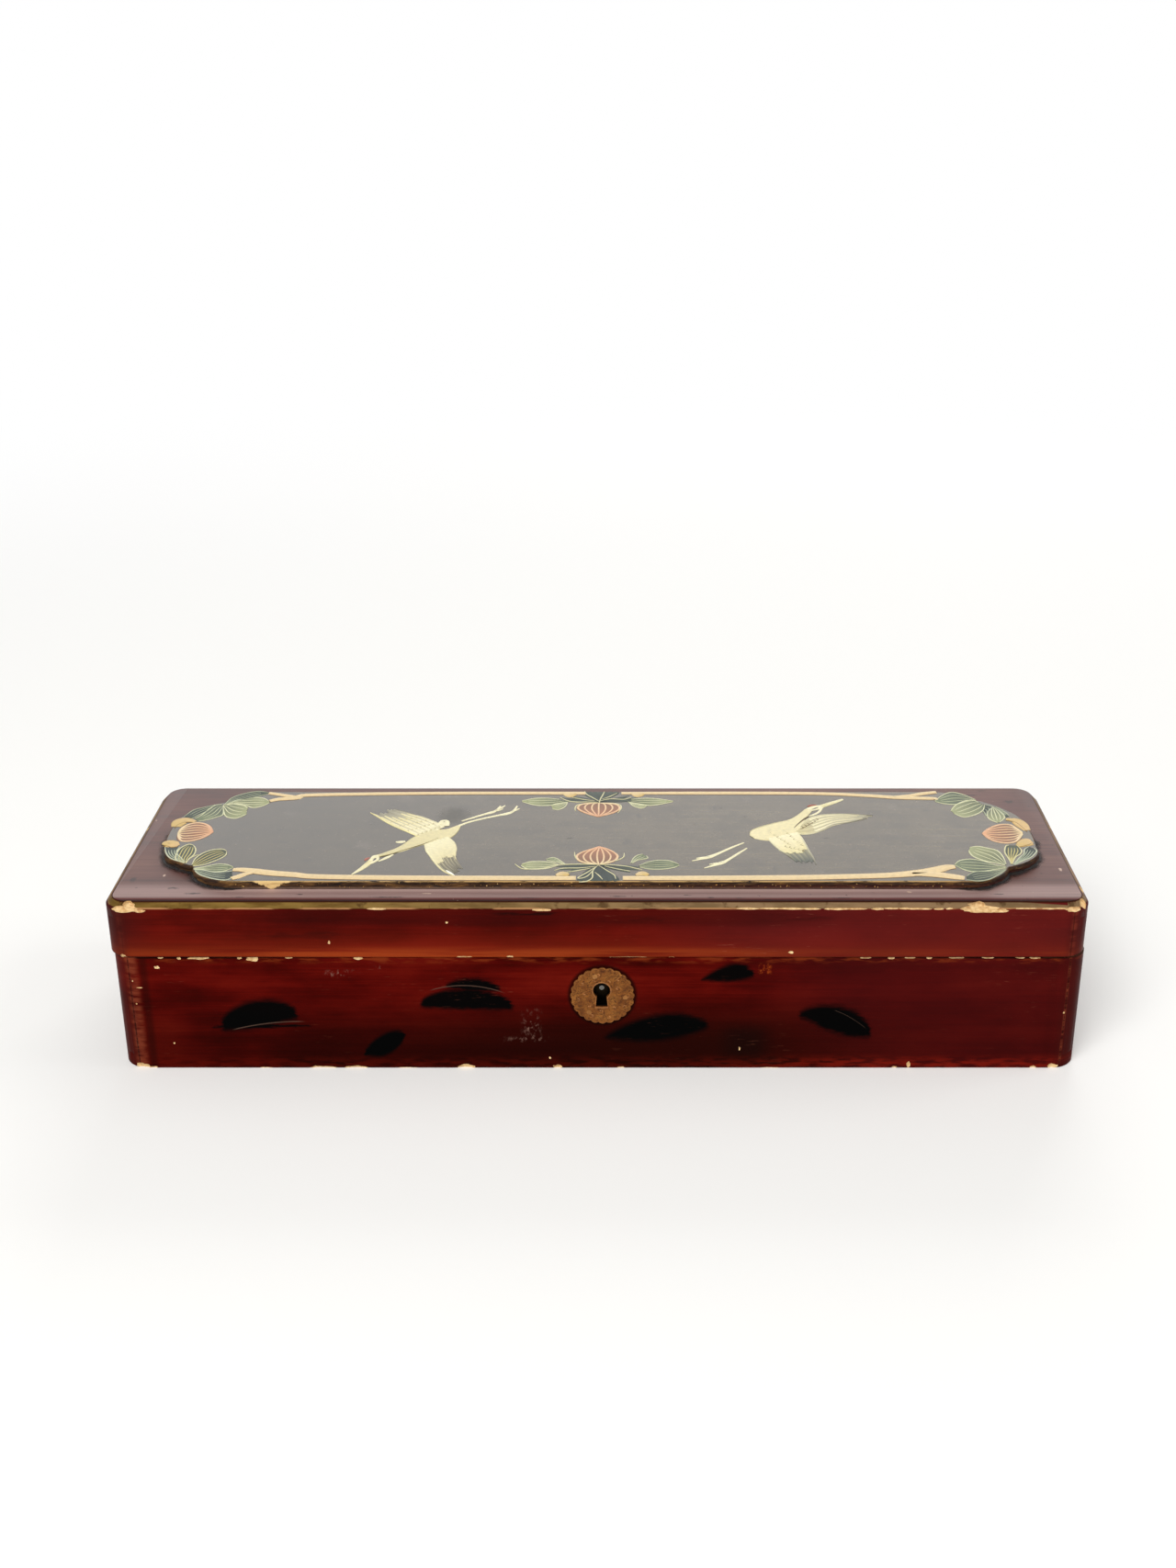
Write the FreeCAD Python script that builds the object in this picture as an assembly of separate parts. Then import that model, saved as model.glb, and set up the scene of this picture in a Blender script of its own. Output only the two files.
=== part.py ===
import FreeCAD, Part
import math
import os

from FreeCAD import Vector

# A long lacquered ink box: five-board base, hinged lid with a raised panel, and a small box lock.
# Millimetres. X runs along the box, Y from front to back, Z up. The origin is under the middle of the box.

# The box as a whole
LENGTH = 290.0
DEPTH = 86.0
SEAM_Z = 38.4
LID_TOP_Z = 56.0
CORNER_R = 7.4
LID_OVERHANG = 0.2
LID_SITS_LEFT = 0.56
GOLD_BEVEL = 2.2
ARRIS = 0.3

# Boards
WALL_T = 5.5
BOTTOM_T = 4.5
TOP_T = 5.0
PANEL_T = 2.4
PANEL_HALF_DEPTH = 33.0

# Raised panel: where two painted leaves meet along each end, and how far each leaf's edge bulges
PANEL_SHOULDER_X = 109.0
LEFT_NOTCHES = [(-122.0, 24.5), (-131.5, 17.5), (-134.8, 9.0), (-134.2, -9.0), (-130.5, -17.6), (-122.5, -22.8)]
LEFT_BULGES = [2.6, 1.0, 0.6, 0.6, 0.9, 0.5, 3.0]
RIGHT_NOTCHES = [(123.8, -23.5), (133.0, -17.2), (135.3, -9.0), (135.2, 9.5), (131.5, 18.0), (122.5, 26.5)]
RIGHT_BULGES = [3.2, 0.8, 0.9, 0.5, 0.7, 0.8, 1.8]

# Bamboo pegs, buried under the lacquer
PEG_R = 1.0
PEG_LENGTH = 14.0
LID_PEG_LENGTH = 11.5
PEG_COVER = 0.45
PEG_INSET = 3.2
BASE_CORNER_PEG_ZS = (14.0, 29.0)
LID_CORNER_PEG_Z = 44.7
LONG_BOARD_PEG_XS = (-120, -60, 0, 60, 120)
END_WALL_PEG_YS = (-20, 20)
GLUE = 0.02

# Hinges
HINGE_X = 85.0
HINGE_HALF = 10.0
HINGE_MID_KNUCKLE = 3.3
HINGE_END_PLAY = 0.05
PIVOT_INSET = 1.5
KNUCKLE_R = 1.4
HINGE_PIN_R = 0.7
RUNNING_FIT = 0.05
LEAF_T = 0.8
LEAF_TONGUE_LAP = 0.2
LEAF_TONGUE_REACH = 0.5
OPEN_ANGLE = 100.0
STOP_SPARE = 1.0
HINGE_SCREW_X = 6.0

# Box lock, measured from the keyhole's upright axis and the inside of the front board
LOCK_X = 1.1
KEY_PIN_Z = 27.3
KEY_PIN_R = 0.75
LOCK_PLATE_HALF = 18.2
LOCK_PLATE_T = 1.0
LOCK_PLATE_HEIGHT = 19.0
SELVEDGE_DEPTH = 4.5
WORKS_DEPTH = 3.0
CAP_HALF = 13.9
CAP_WALL = 0.5
CAP_FOOT_Z = 20.7
WORKS_PLAY = 0.1
LOCK_SCREW_X = 16.2
LOCK_SCREW_ZS = (34.4, 22.6)
LINK_SCREW_X = 15.0
LINK_SCREW_Y = -39.8
RIVET_X = 12.5
RIVET_Z = 22.1
RIVET_R = 0.6

# Link plate's hooked lugs, the bolt that slides over their toes, and the bolt's guides
LUG_RIGHTS = (-4.0, 11.0)
LUG_LEG_W = 1.4
LUG_TOE = 4.0
LUG_TOE_H = 1.2
LUG_FOOT_Z = 33.8
LUG_FRONT_Y, LUG_BACK_Y = -40.1, -38.9
SLOT_MARGIN = 0.4
BOLT_TRAVEL = 2.5
BOLT_LEFT, BOLT_RIGHT = -13.0, 6.5
BOLT_FRONT_Y, BOLT_BACK_Y = -40.2, -38.7
BOLT_FOOT_Z, BOLT_BAR_TOP_Z = 29.6, 33.6
POST_W = 2.1
FINGER_FOOT_Z, FINGER_TOP_Z = 35.2, 36.8
FINGER_GAP = 0.3
TALON_LEFT, TALON_RIGHT, TALON_TOP_Z = -3.05, 0.55, 32.5
GUIDE_XS = (-6.5, 4.5)
GUIDE_Z = 31.4
GUIDE_R = 0.75
SPRING_T = 0.3
SPRING_LEFT, SPRING_RIGHT = -3.4, 1.4
SPRING_END_Z = 35.6

# Keyhole
KEYHOLE_HEAD_R = 2.45
KEYHOLE_NECK_W = 2.8
KEYHOLE_FOOT_W = 3.5
KEYHOLE_FOOT_Z = 21.9

# Keyhole plate
PLATE_X = 1.3
PLATE_Z = 25.5
PLATE_R = 9.6
PLATE_T = 0.4
PLATE_SCALLOPS = 24
SCALLOP_DEPTH = 0.35
KEYHOLE_RIM_W = 0.7
KEYHOLE_RIM_H = 0.2
PLATE_PIN_CIRCLE_R = 6.9
PLATE_PIN_ANGLES = (109.0, 235.0, 355.0)
PLATE_PIN_R = 0.4
PLATE_PIN_LENGTH = 1.3
PLATE_PIN_HEAD_R = 0.8
PLATE_PIN_HEAD_H = 0.3

# Fastener sizes: head diameter, shank diameter, length
HINGE_SCREW = (1.9, 1.0, 6.0)
LOCK_SCREW = (2.4, 1.3, 4.2)
LINK_SCREW = (2.4, 1.3, 5.5)
SCREW_SLOT_W = 0.36
SCREW_SLOT_DEPTH = 0.3

# Places that follow from the sizes above
BASE_X = (LID_SITS_LEFT + LID_OVERHANG) / 2
LID_X = BASE_X - LID_SITS_LEFT
LID_LENGTH = LENGTH + 2 * LID_OVERHANG
LID_DEPTH = DEPTH + 2 * LID_OVERHANG
FRONT = -DEPTH / 2
BACK = DEPTH / 2
FRONT_IN = FRONT + WALL_T
BACK_IN = BACK - WALL_T
RAIL_T = WALL_T + LID_OVERHANG
RAIL_TOP_Z = LID_TOP_Z - TOP_T
PIVOT_Y = BACK - PIVOT_INSET
STOP_ANGLE = math.radians((OPEN_ANGLE + STOP_SPARE) / 2)
BARREL_GROOVE_R = KNUCKLE_R + 0.1
LEAF_EDGE_Y = PIVOT_Y - BARREL_GROOVE_R
LEAF_SCREW_Y = (BACK_IN + LEAF_EDGE_Y) / 2
PLATE_BACK = FRONT_IN - LOCK_PLATE_T
WORKS_FRONT = PLATE_BACK - WORKS_DEPTH
SELVEDGE_FRONT = FRONT_IN - SELVEDGE_DEPTH
SELVEDGE_UNDER_Z = SEAM_Z - LOCK_PLATE_T

UP = Vector(0, 0, 1)
ALONG = Vector(1, 0, 0)
INWARD = Vector(0, 1, 0)


# Basic solids
def block(x0, x1, y0, y1, z0, z1):
    return Part.makeBox(x1 - x0, y1 - y0, z1 - z0, Vector(x0, y0, z0))


def rod(radius, start, direction, length):
    return Part.makeCylinder(radius, length, start, direction)


def lock_block(x0, x1, y0, y1, z0, z1):
    return block(LOCK_X + x0, LOCK_X + x1, y0, y1, z0, z1)


def joined(shapes):
    first, rest = shapes[0], shapes[1:]
    return first.fuse(rest).removeSplitter() if rest else first


def less(shape, cutters):
    return shape.cut(cutters) if cutters else shape


def edges_at(shape, z):
    level = []
    for edge in shape.Edges:
        box = edge.BoundBox
        if abs(box.ZMin - z) < 1e-4 and abs(box.ZMax - z) < 1e-4:
            level.append(edge)
    return level


def prism_along_x(points, x0, x1):
    wire = Part.makePolygon([Vector(x0, y, z) for y, z in points + points[:1]])
    return Part.Face(wire).extrude(Vector(x1 - x0, 0, 0))


# The outer form: base and lid were shaped as blocks, so every board is cut from its block
def rounded_block(centre_x, length, depth, z0, z1):
    solid = block(centre_x - length / 2, centre_x + length / 2, -depth / 2, depth / 2, z0, z1)
    upright = [e for e in solid.Edges if e.BoundBox.ZLength > z1 - z0 - 1e-6]
    return solid.makeFillet(CORNER_R, upright)


def stop_wedge(sign, depth):
    reach = depth / 2 + 1.0
    drop = sign * (reach - PIVOT_Y) * math.tan(STOP_ANGLE)
    corners = [(PIVOT_Y, SEAM_Z), (reach, SEAM_Z), (reach, SEAM_Z + drop)]
    return prism_along_x(corners, -LENGTH, LENGTH)


def base_block():
    solid = rounded_block(BASE_X, LENGTH, DEPTH, 0.0, SEAM_Z)
    solid = solid.makeChamfer(ARRIS, edges_at(solid, 0.0) + edges_at(solid, SEAM_Z))
    return solid.cut(stop_wedge(-1, DEPTH))


def lid_block():
    solid = rounded_block(LID_X, LID_LENGTH, LID_DEPTH, SEAM_Z, LID_TOP_Z)
    solid = solid.makeChamfer(GOLD_BEVEL, edges_at(solid, LID_TOP_Z))
    solid = solid.makeChamfer(ARRIS, edges_at(solid, SEAM_Z))
    return solid.cut(stop_wedge(1, LID_DEPTH))


# Bamboo pegs: places as a start point and a direction
def corner_peg_places(centre_x, length, depth, wall, heights):
    places = []
    for side in (-1, 1):
        for end in (-1, 1):
            for z in heights:
                start = Vector(centre_x + side * (length / 2 - PEG_INSET), end * (depth - wall) / 2, z)
                places.append((start, Vector(-side, 0, 0)))
    return places


def rim_peg_places(centre_x, half_x, half_y, z, direction):
    spots = [(x, side * half_y) for x in LONG_BOARD_PEG_XS for side in (-1, 1)]
    spots += [(centre_x + side * half_x, y) for side in (-1, 1) for y in END_WALL_PEG_YS]
    return [(Vector(x, y, z), direction) for x, y in spots]


BASE_CORNERS = corner_peg_places(BASE_X, LENGTH, DEPTH, WALL_T, BASE_CORNER_PEG_ZS)
LID_CORNERS = corner_peg_places(LID_X, LID_LENGTH, LID_DEPTH, RAIL_T, (LID_CORNER_PEG_Z,))
BOTTOM_PLACES = rim_peg_places(
    BASE_X, (LENGTH - WALL_T) / 2, (DEPTH - WALL_T) / 2, PEG_COVER, UP)
LID_TOP_PLACES = rim_peg_places(
    LID_X, LID_LENGTH / 2 - PEG_INSET, LID_DEPTH / 2 - PEG_INSET, LID_TOP_Z - PEG_COVER, -UP)


def pegs(places, length):
    return Part.makeCompound([rod(PEG_R, start, way, length) for start, way in places])


def peg_holes(places, length):
    return [rod(PEG_R + GLUE, start - way * GLUE, way, length + 2 * GLUE) for start, way in places]


BASE_PEG_HOLES = peg_holes(BASE_CORNERS, PEG_LENGTH) + peg_holes(BOTTOM_PLACES, PEG_LENGTH)
LID_PEG_HOLES = peg_holes(LID_CORNERS, PEG_LENGTH) + peg_holes(LID_TOP_PLACES, LID_PEG_LENGTH)


# Countersunk screws: the flat of the head is at the place given, and the shank runs along the direction
def screw_form(sizes, place, direction, grow=0.0):
    head_r, shank_r, length = sizes[0] / 2 + grow, sizes[1] / 2 + grow, sizes[2] + grow
    taper = head_r - shank_r
    head = Part.makeCone(head_r, shank_r, taper, place, direction)
    shank = rod(shank_r, place + direction * taper, direction, length - taper - shank_r)
    tip = Part.makeCone(shank_r, shank_r / 4, shank_r, place + direction * (length - shank_r), direction)
    return joined([head, shank, tip])


def screws(sizes, places, direction):
    across = 2 * sizes[0]
    corner = Vector(-across / 2, -SCREW_SLOT_W / 2, -SCREW_SLOT_DEPTH)
    made = []
    for place in places:
        slot = Part.makeBox(across, SCREW_SLOT_W, 2 * SCREW_SLOT_DEPTH, corner)
        slot.Placement = FreeCAD.Placement(place, FreeCAD.Rotation(UP, direction))
        made.append(screw_form(sizes, place, direction).cut(slot))
    return Part.makeCompound(made)


def screw_holes(sizes, places, direction):
    return [screw_form(sizes, place, direction, GLUE) for place in places]


def leaf_screw_places(hinge_x):
    return [Vector(hinge_x + side * HINGE_SCREW_X, LEAF_SCREW_Y, SEAM_Z) for side in (-1, 1)]


LEAF_SCREWS = leaf_screw_places(-HINGE_X) + leaf_screw_places(HINGE_X)
LOCK_SCREWS = [Vector(LOCK_X + side * LOCK_SCREW_X, FRONT_IN, z) for side in (-1, 1) for z in LOCK_SCREW_ZS]
LINK_SCREWS = [Vector(LOCK_X + side * LINK_SCREW_X, LINK_SCREW_Y, SEAM_Z) for side in (-1, 1)]


# Butt hinges, let into the back rims with the pin's axis on the seam
def hinge_leaf(hinge_x, knuckles, z0, z1, bore_r, screw_way):
    left, right = hinge_x - HINGE_HALF, hinge_x + HINGE_HALF
    pieces = [block(left, right, BACK_IN, LEAF_EDGE_Y, z0, z1)]
    for start, end in knuckles:
        x0, x1 = hinge_x + start, hinge_x + end
        pieces.append(rod(KNUCKLE_R, Vector(x0, PIVOT_Y, SEAM_Z), ALONG, x1 - x0))
        pieces.append(block(x0, x1, LEAF_EDGE_Y - LEAF_TONGUE_LAP, LEAF_EDGE_Y + LEAF_TONGUE_REACH, z0, z1))
    bore = rod(bore_r, Vector(left - 1, PIVOT_Y, SEAM_Z), ALONG, 2 * HINGE_HALF + 2)
    holes = screw_holes(HINGE_SCREW, leaf_screw_places(hinge_x), screw_way)
    return less(joined(pieces), [bore] + holes)


def base_leaf(hinge_x):
    inner = HINGE_MID_KNUCKLE + HINGE_END_PLAY
    knuckles = [(-HINGE_HALF, -inner), (inner, HINGE_HALF)]
    return hinge_leaf(hinge_x, knuckles, SEAM_Z - LEAF_T, SEAM_Z, HINGE_PIN_R + 0.01, -UP)


def lid_leaf(hinge_x):
    inner = HINGE_MID_KNUCKLE - HINGE_END_PLAY
    return hinge_leaf(hinge_x, [(-inner, inner)], SEAM_Z, SEAM_Z + LEAF_T, HINGE_PIN_R + RUNNING_FIT, UP)


def hinge_pin(hinge_x):
    return rod(HINGE_PIN_R, Vector(hinge_x - HINGE_HALF, PIVOT_Y, SEAM_Z), ALONG, 2 * HINGE_HALF)


def hinge_housings(z0, z1):
    cuts = []
    for hinge_x in (-HINGE_X, HINGE_X):
        left, right = hinge_x - HINGE_HALF - 0.1, hinge_x + HINGE_HALF + 0.1
        cuts.append(rod(BARREL_GROOVE_R, Vector(left, PIVOT_Y, SEAM_Z), ALONG, right - left))
        cuts.append(block(left, right, BACK_IN - 1, PIVOT_Y, z0, z1))
    return cuts


# Keyhole: a round head over a slot that widens towards its foot, cut through from y0 to y1
def keyhole(y0, y1, grow=0.0):
    head = rod(KEYHOLE_HEAD_R + grow, Vector(LOCK_X, y0, KEY_PIN_Z), INWARD, y1 - y0)
    neck, foot = KEYHOLE_NECK_W / 2 + grow, KEYHOLE_FOOT_W / 2 + grow
    foot_z = KEYHOLE_FOOT_Z - grow
    corners = [(-neck, KEY_PIN_Z), (neck, KEY_PIN_Z), (foot, foot_z), (-foot, foot_z), (-neck, KEY_PIN_Z)]
    wire = Part.makePolygon([Vector(LOCK_X + x, y0, z) for x, z in corners])
    slot = Part.Face(wire).extrude(Vector(0, y1 - y0, 0))
    return joined([head, slot])


# Base boards
def bottom_board(form):
    return less(form.common(block(-LENGTH, LENGTH, -DEPTH, DEPTH, 0, BOTTOM_T)), BASE_PEG_HOLES)


def end_wall(form, side):
    inner = BASE_X + side * (LENGTH / 2 - WALL_T)
    x0, x1 = sorted((inner, side * LENGTH))
    return less(form.common(block(x0, x1, -DEPTH, DEPTH, BOTTOM_T, SEAM_Z)), BASE_PEG_HOLES)


def long_board(form, y0, y1, cutters):
    half = LENGTH / 2 - WALL_T
    board = form.common(block(BASE_X - half, BASE_X + half, y0, y1, BOTTOM_T, SEAM_Z))
    return less(board, BASE_PEG_HOLES + cutters)


def lock_mortise():
    plate_play = LOCK_PLATE_HALF + WORKS_PLAY
    works = CAP_HALF + WORKS_PLAY
    plate_foot = SEAM_Z - LOCK_PLATE_HEIGHT - WORKS_PLAY
    return [
        lock_block(-plate_play, plate_play, PLATE_BACK, FRONT_IN + 1, plate_foot, SEAM_Z + 1),
        lock_block(
            -plate_play, plate_play, SELVEDGE_FRONT - WORKS_PLAY, FRONT_IN, SELVEDGE_UNDER_Z, SEAM_Z + 1),
        lock_block(-works, works, WORKS_FRONT, FRONT_IN, CAP_FOOT_Z - WORKS_PLAY, SEAM_Z),
    ]


def base_front_board(form):
    cutters = lock_mortise() + [keyhole(FRONT - 1, FRONT_IN)]
    cutters += screw_holes(LOCK_SCREW, LOCK_SCREWS, -INWARD)
    cutters += [rod(PLATE_PIN_R + GLUE, place, INWARD, PLATE_PIN_LENGTH) for place in plate_pin_places()]
    return long_board(form, -DEPTH, FRONT_IN, cutters)


def base_back_board(form):
    cutters = hinge_housings(SEAM_Z - LEAF_T, SEAM_Z + 1)
    cutters += screw_holes(HINGE_SCREW, LEAF_SCREWS, -UP)
    return long_board(form, BACK_IN, DEPTH, cutters)


# Lid boards
def lid_top_board(form):
    return less(form.common(block(-LENGTH, LENGTH, -DEPTH, DEPTH, RAIL_TOP_Z, LID_TOP_Z)), LID_PEG_HOLES)


def end_rail(form, side):
    inner = LID_X + side * (LID_LENGTH / 2 - RAIL_T)
    x0, x1 = sorted((inner, side * LENGTH))
    return less(form.common(block(x0, x1, -DEPTH, DEPTH, SEAM_Z, RAIL_TOP_Z)), LID_PEG_HOLES)


def long_rail(form, y0, y1, cutters):
    half = LID_LENGTH / 2 - RAIL_T
    rail = form.common(block(LID_X - half, LID_X + half, y0, y1, SEAM_Z, RAIL_TOP_Z))
    return less(rail, LID_PEG_HOLES + cutters)


def lid_front_rail(form):
    half = LOCK_PLATE_HALF + WORKS_PLAY
    link_seat = lock_block(
        -half, half, SELVEDGE_FRONT - WORKS_PLAY, FRONT_IN + 1, SEAM_Z - 1, SEAM_Z + LOCK_PLATE_T)
    cutters = [link_seat] + screw_holes(LINK_SCREW, LINK_SCREWS, UP)
    return long_rail(form, -DEPTH, FRONT_IN, cutters)


def lid_back_rail(form):
    cutters = hinge_housings(SEAM_Z - 1, SEAM_Z + LEAF_T)
    cutters += screw_holes(HINGE_SCREW, LEAF_SCREWS, UP)
    return long_rail(form, BACK_IN, DEPTH, cutters)


# Raised panel: straight long edges, and ends that follow the painted leaves as a chain of arcs
def arc_chain(points, bulges, z):
    edges = []
    for (x0, y0), (x1, y1), bulge in zip(points, points[1:], bulges):
        chord = math.hypot(x1 - x0, y1 - y0)
        out_x, out_y = (y1 - y0) / chord, -(x1 - x0) / chord
        crest = Vector((x0 + x1) / 2 + out_x * bulge, (y0 + y1) / 2 + out_y * bulge, z)
        edges.append(Part.Arc(Vector(x0, y0, z), crest, Vector(x1, y1, z)).toShape())
    return edges


def lid_panel():
    x, y = PANEL_SHOULDER_X, PANEL_HALF_DEPTH
    left = [(-x, y)] + LEFT_NOTCHES + [(-x, -y)]
    right = [(x, -y)] + RIGHT_NOTCHES + [(x, y)]
    front_edge = Part.makeLine(Vector(-x, -y, LID_TOP_Z), Vector(x, -y, LID_TOP_Z))
    back_edge = Part.makeLine(Vector(x, y, LID_TOP_Z), Vector(-x, y, LID_TOP_Z))
    edges = arc_chain(left, LEFT_BULGES, LID_TOP_Z) + [front_edge]
    edges += arc_chain(right, RIGHT_BULGES, LID_TOP_Z) + [back_edge]
    return Part.Face(Part.Wire(edges)).extrude(Vector(0, 0, PANEL_T))


# Keyhole plate: a disc with a scalloped edge and a low rim round its keyhole, pinned on
def plate_pin_places():
    places = []
    for angle in PLATE_PIN_ANGLES:
        turn = math.radians(angle)
        x = PLATE_X + PLATE_PIN_CIRCLE_R * math.cos(turn)
        z = PLATE_Z + PLATE_PIN_CIRCLE_R * math.sin(turn)
        places.append(Vector(x, FRONT, z))
    return places


def escutcheon():
    def rim_point(step, radius):
        turn = 2 * math.pi * step / PLATE_SCALLOPS
        return Vector(PLATE_X + radius * math.cos(turn), FRONT, PLATE_Z + radius * math.sin(turn))

    notch_r = PLATE_R - SCALLOP_DEPTH
    edges = []
    for step in range(PLATE_SCALLOPS):
        arc = Part.Arc(rim_point(step, notch_r), rim_point(step + 0.5, PLATE_R), rim_point(step + 1, notch_r))
        edges.append(arc.toShape())
    disc = Part.Face(Part.Wire(edges)).extrude(Vector(0, -PLATE_T, 0))
    rim = keyhole(FRONT - PLATE_T - KEYHOLE_RIM_H, FRONT, KEYHOLE_RIM_W)
    holes = [rod(PLATE_PIN_R + GLUE, place - INWARD, INWARD, 2) for place in plate_pin_places()]
    return less(joined([disc, rim]), [keyhole(FRONT - 2, FRONT + 1)] + holes)


def escutcheon_pins():
    dome_r = (PLATE_PIN_HEAD_R ** 2 + PLATE_PIN_HEAD_H ** 2) / (2 * PLATE_PIN_HEAD_H)
    face = FRONT - PLATE_T
    pins = []
    for place in plate_pin_places():
        centre = Vector(place.x, face - PLATE_PIN_HEAD_H + dome_r, place.z)
        ball = Part.makeSphere(dome_r, centre)
        head = ball.common(rod(PLATE_PIN_HEAD_R, Vector(place.x, face - 1, place.z), INWARD, 1))
        shank = rod(PLATE_PIN_R, Vector(place.x, face, place.z), INWARD, PLATE_T + PLATE_PIN_LENGTH - GLUE)
        pins.append(joined([head, shank]))
    return Part.makeCompound(pins)


# Box lock. The lid's hooked lugs drop through the selvedge; the bolt's two fingers slide over their toes
def bolt_layer(x0, x1, z0, z1):
    return lock_block(x0, x1, BOLT_FRONT_Y, BOLT_BACK_Y, z0, z1)


def bolt_fingers():
    pieces = []
    for right in LUG_RIGHTS:
        tip = right - LUG_TOE - FINGER_GAP
        root = tip - BOLT_TRAVEL - POST_W - FINGER_GAP
        pieces.append(bolt_layer(root, root + POST_W, BOLT_FOOT_Z, FINGER_TOP_Z))
        pieces.append(bolt_layer(root, tip, FINGER_FOOT_Z, FINGER_TOP_Z))
    return pieces


def lock_bolt():
    bar = bolt_layer(BOLT_LEFT, BOLT_RIGHT, BOLT_FOOT_Z, BOLT_BAR_TOP_Z)
    play = GUIDE_R + RUNNING_FIT
    y0, y1 = BOLT_FRONT_Y - 1, BOLT_BACK_Y + 1
    cuts = [lock_block(TALON_LEFT, TALON_RIGHT, y0, y1, BOLT_FOOT_Z - 1, TALON_TOP_Z)]
    for x in GUIDE_XS:
        cuts.append(lock_block(x - BOLT_TRAVEL, x, y0, y1, GUIDE_Z - play, GUIDE_Z + play))
        for end in (x - BOLT_TRAVEL, x):
            cuts.append(rod(play, Vector(LOCK_X + end, y0, GUIDE_Z), INWARD, y1 - y0))
    return less(joined([bar] + bolt_fingers()), cuts)


def lock_plate():
    upright = lock_block(
        -LOCK_PLATE_HALF, LOCK_PLATE_HALF, PLATE_BACK, FRONT_IN, SEAM_Z - LOCK_PLATE_HEIGHT, SEAM_Z)
    selvedge = lock_block(
        -LOCK_PLATE_HALF, LOCK_PLATE_HALF, SELVEDGE_FRONT, FRONT_IN, SELVEDGE_UNDER_Z, SEAM_Z)
    cuts = screw_holes(LOCK_SCREW, LOCK_SCREWS, -INWARD)
    for right in LUG_RIGHTS:
        cuts.append(lock_block(
            right - LUG_TOE - SLOT_MARGIN, right + SLOT_MARGIN,
            LUG_FRONT_Y - SLOT_MARGIN, PLATE_BACK - WORKS_PLAY,
            SELVEDGE_UNDER_Z - 1, SEAM_Z + 1))
    pin_spots = [(0, KEY_PIN_Z, KEY_PIN_R)] + [(x, GUIDE_Z, GUIDE_R) for x in GUIDE_XS]
    pin_spots += [(side * RIVET_X, RIVET_Z, RIVET_R) for side in (-1, 1)]
    for x, z, radius in pin_spots:
        cuts.append(rod(radius + 0.01, Vector(LOCK_X + x, PLATE_BACK - 1, z), INWARD, 3))
    return less(joined([upright, selvedge]), cuts)


def lock_cap():
    pan = lock_block(-CAP_HALF, CAP_HALF, WORKS_FRONT + WORKS_PLAY, PLATE_BACK, CAP_FOOT_Z, SELVEDGE_UNDER_Z)
    inner = CAP_HALF - CAP_WALL
    face_in = WORKS_FRONT + WORKS_PLAY + CAP_WALL
    hollow = lock_block(-inner, inner, face_in, PLATE_BACK + 1, CAP_FOOT_Z + CAP_WALL, SEAM_Z)
    holes = []
    for side in (-1, 1):
        place = Vector(LOCK_X + side * RIVET_X, WORKS_FRONT - 1, RIVET_Z)
        holes.append(rod(RIVET_R + 0.01, place, INWARD, 3))
    return less(pan, [hollow, keyhole(WORKS_FRONT - 1, PLATE_BACK)] + holes)


def lock_cap_rivets():
    made = []
    for side in (-1, 1):
        place = Vector(LOCK_X + side * RIVET_X, WORKS_FRONT + WORKS_PLAY, RIVET_Z)
        made.append(rod(RIVET_R, place, INWARD, FRONT_IN - place.y))
    return Part.makeCompound(made)


def lock_key_pin():
    tip_y = WORKS_FRONT - WORKS_PLAY
    return rod(KEY_PIN_R, Vector(LOCK_X, tip_y, KEY_PIN_Z), INWARD, FRONT_IN - tip_y)


def bolt_guide_pins():
    start_y = BOLT_FRONT_Y - FINGER_GAP
    return Part.makeCompound(
        [rod(GUIDE_R, Vector(LOCK_X + x, start_y, GUIDE_Z), INWARD, FRONT_IN - start_y) for x in GUIDE_XS])


# The bolt's spring: a bowed strip whose crown bears on the bar and whose left end is staked up at the top
def lock_spring():
    crown_z = BOLT_BAR_TOP_Z + RUNNING_FIT
    middle = (SPRING_LEFT + SPRING_RIGHT) / 2
    stem = SPRING_LEFT + SPRING_T
    end_top_z = SPRING_END_Z + SPRING_T

    def at(x, z):
        return Vector(LOCK_X + x, BOLT_FRONT_Y + WORKS_PLAY, z)

    under = Part.Arc(at(SPRING_LEFT, SPRING_END_Z), at(middle, crown_z), at(SPRING_RIGHT, SPRING_END_Z))
    over = Part.Arc(at(SPRING_RIGHT, end_top_z), at(middle, crown_z + SPRING_T), at(stem, end_top_z))
    outline = [
        under.toShape(),
        Part.makeLine(at(SPRING_RIGHT, SPRING_END_Z), at(SPRING_RIGHT, end_top_z)),
        over.toShape(),
        Part.makeLine(at(stem, end_top_z), at(stem, SELVEDGE_UNDER_Z)),
        Part.makeLine(at(stem, SELVEDGE_UNDER_Z), at(SPRING_LEFT, SELVEDGE_UNDER_Z)),
        Part.makeLine(at(SPRING_LEFT, SELVEDGE_UNDER_Z), at(SPRING_LEFT, SPRING_END_Z)),
    ]
    width = BOLT_BACK_Y - BOLT_FRONT_Y - 2 * WORKS_PLAY
    return Part.Face(Part.Wire(outline)).extrude(Vector(0, width, 0))


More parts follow.
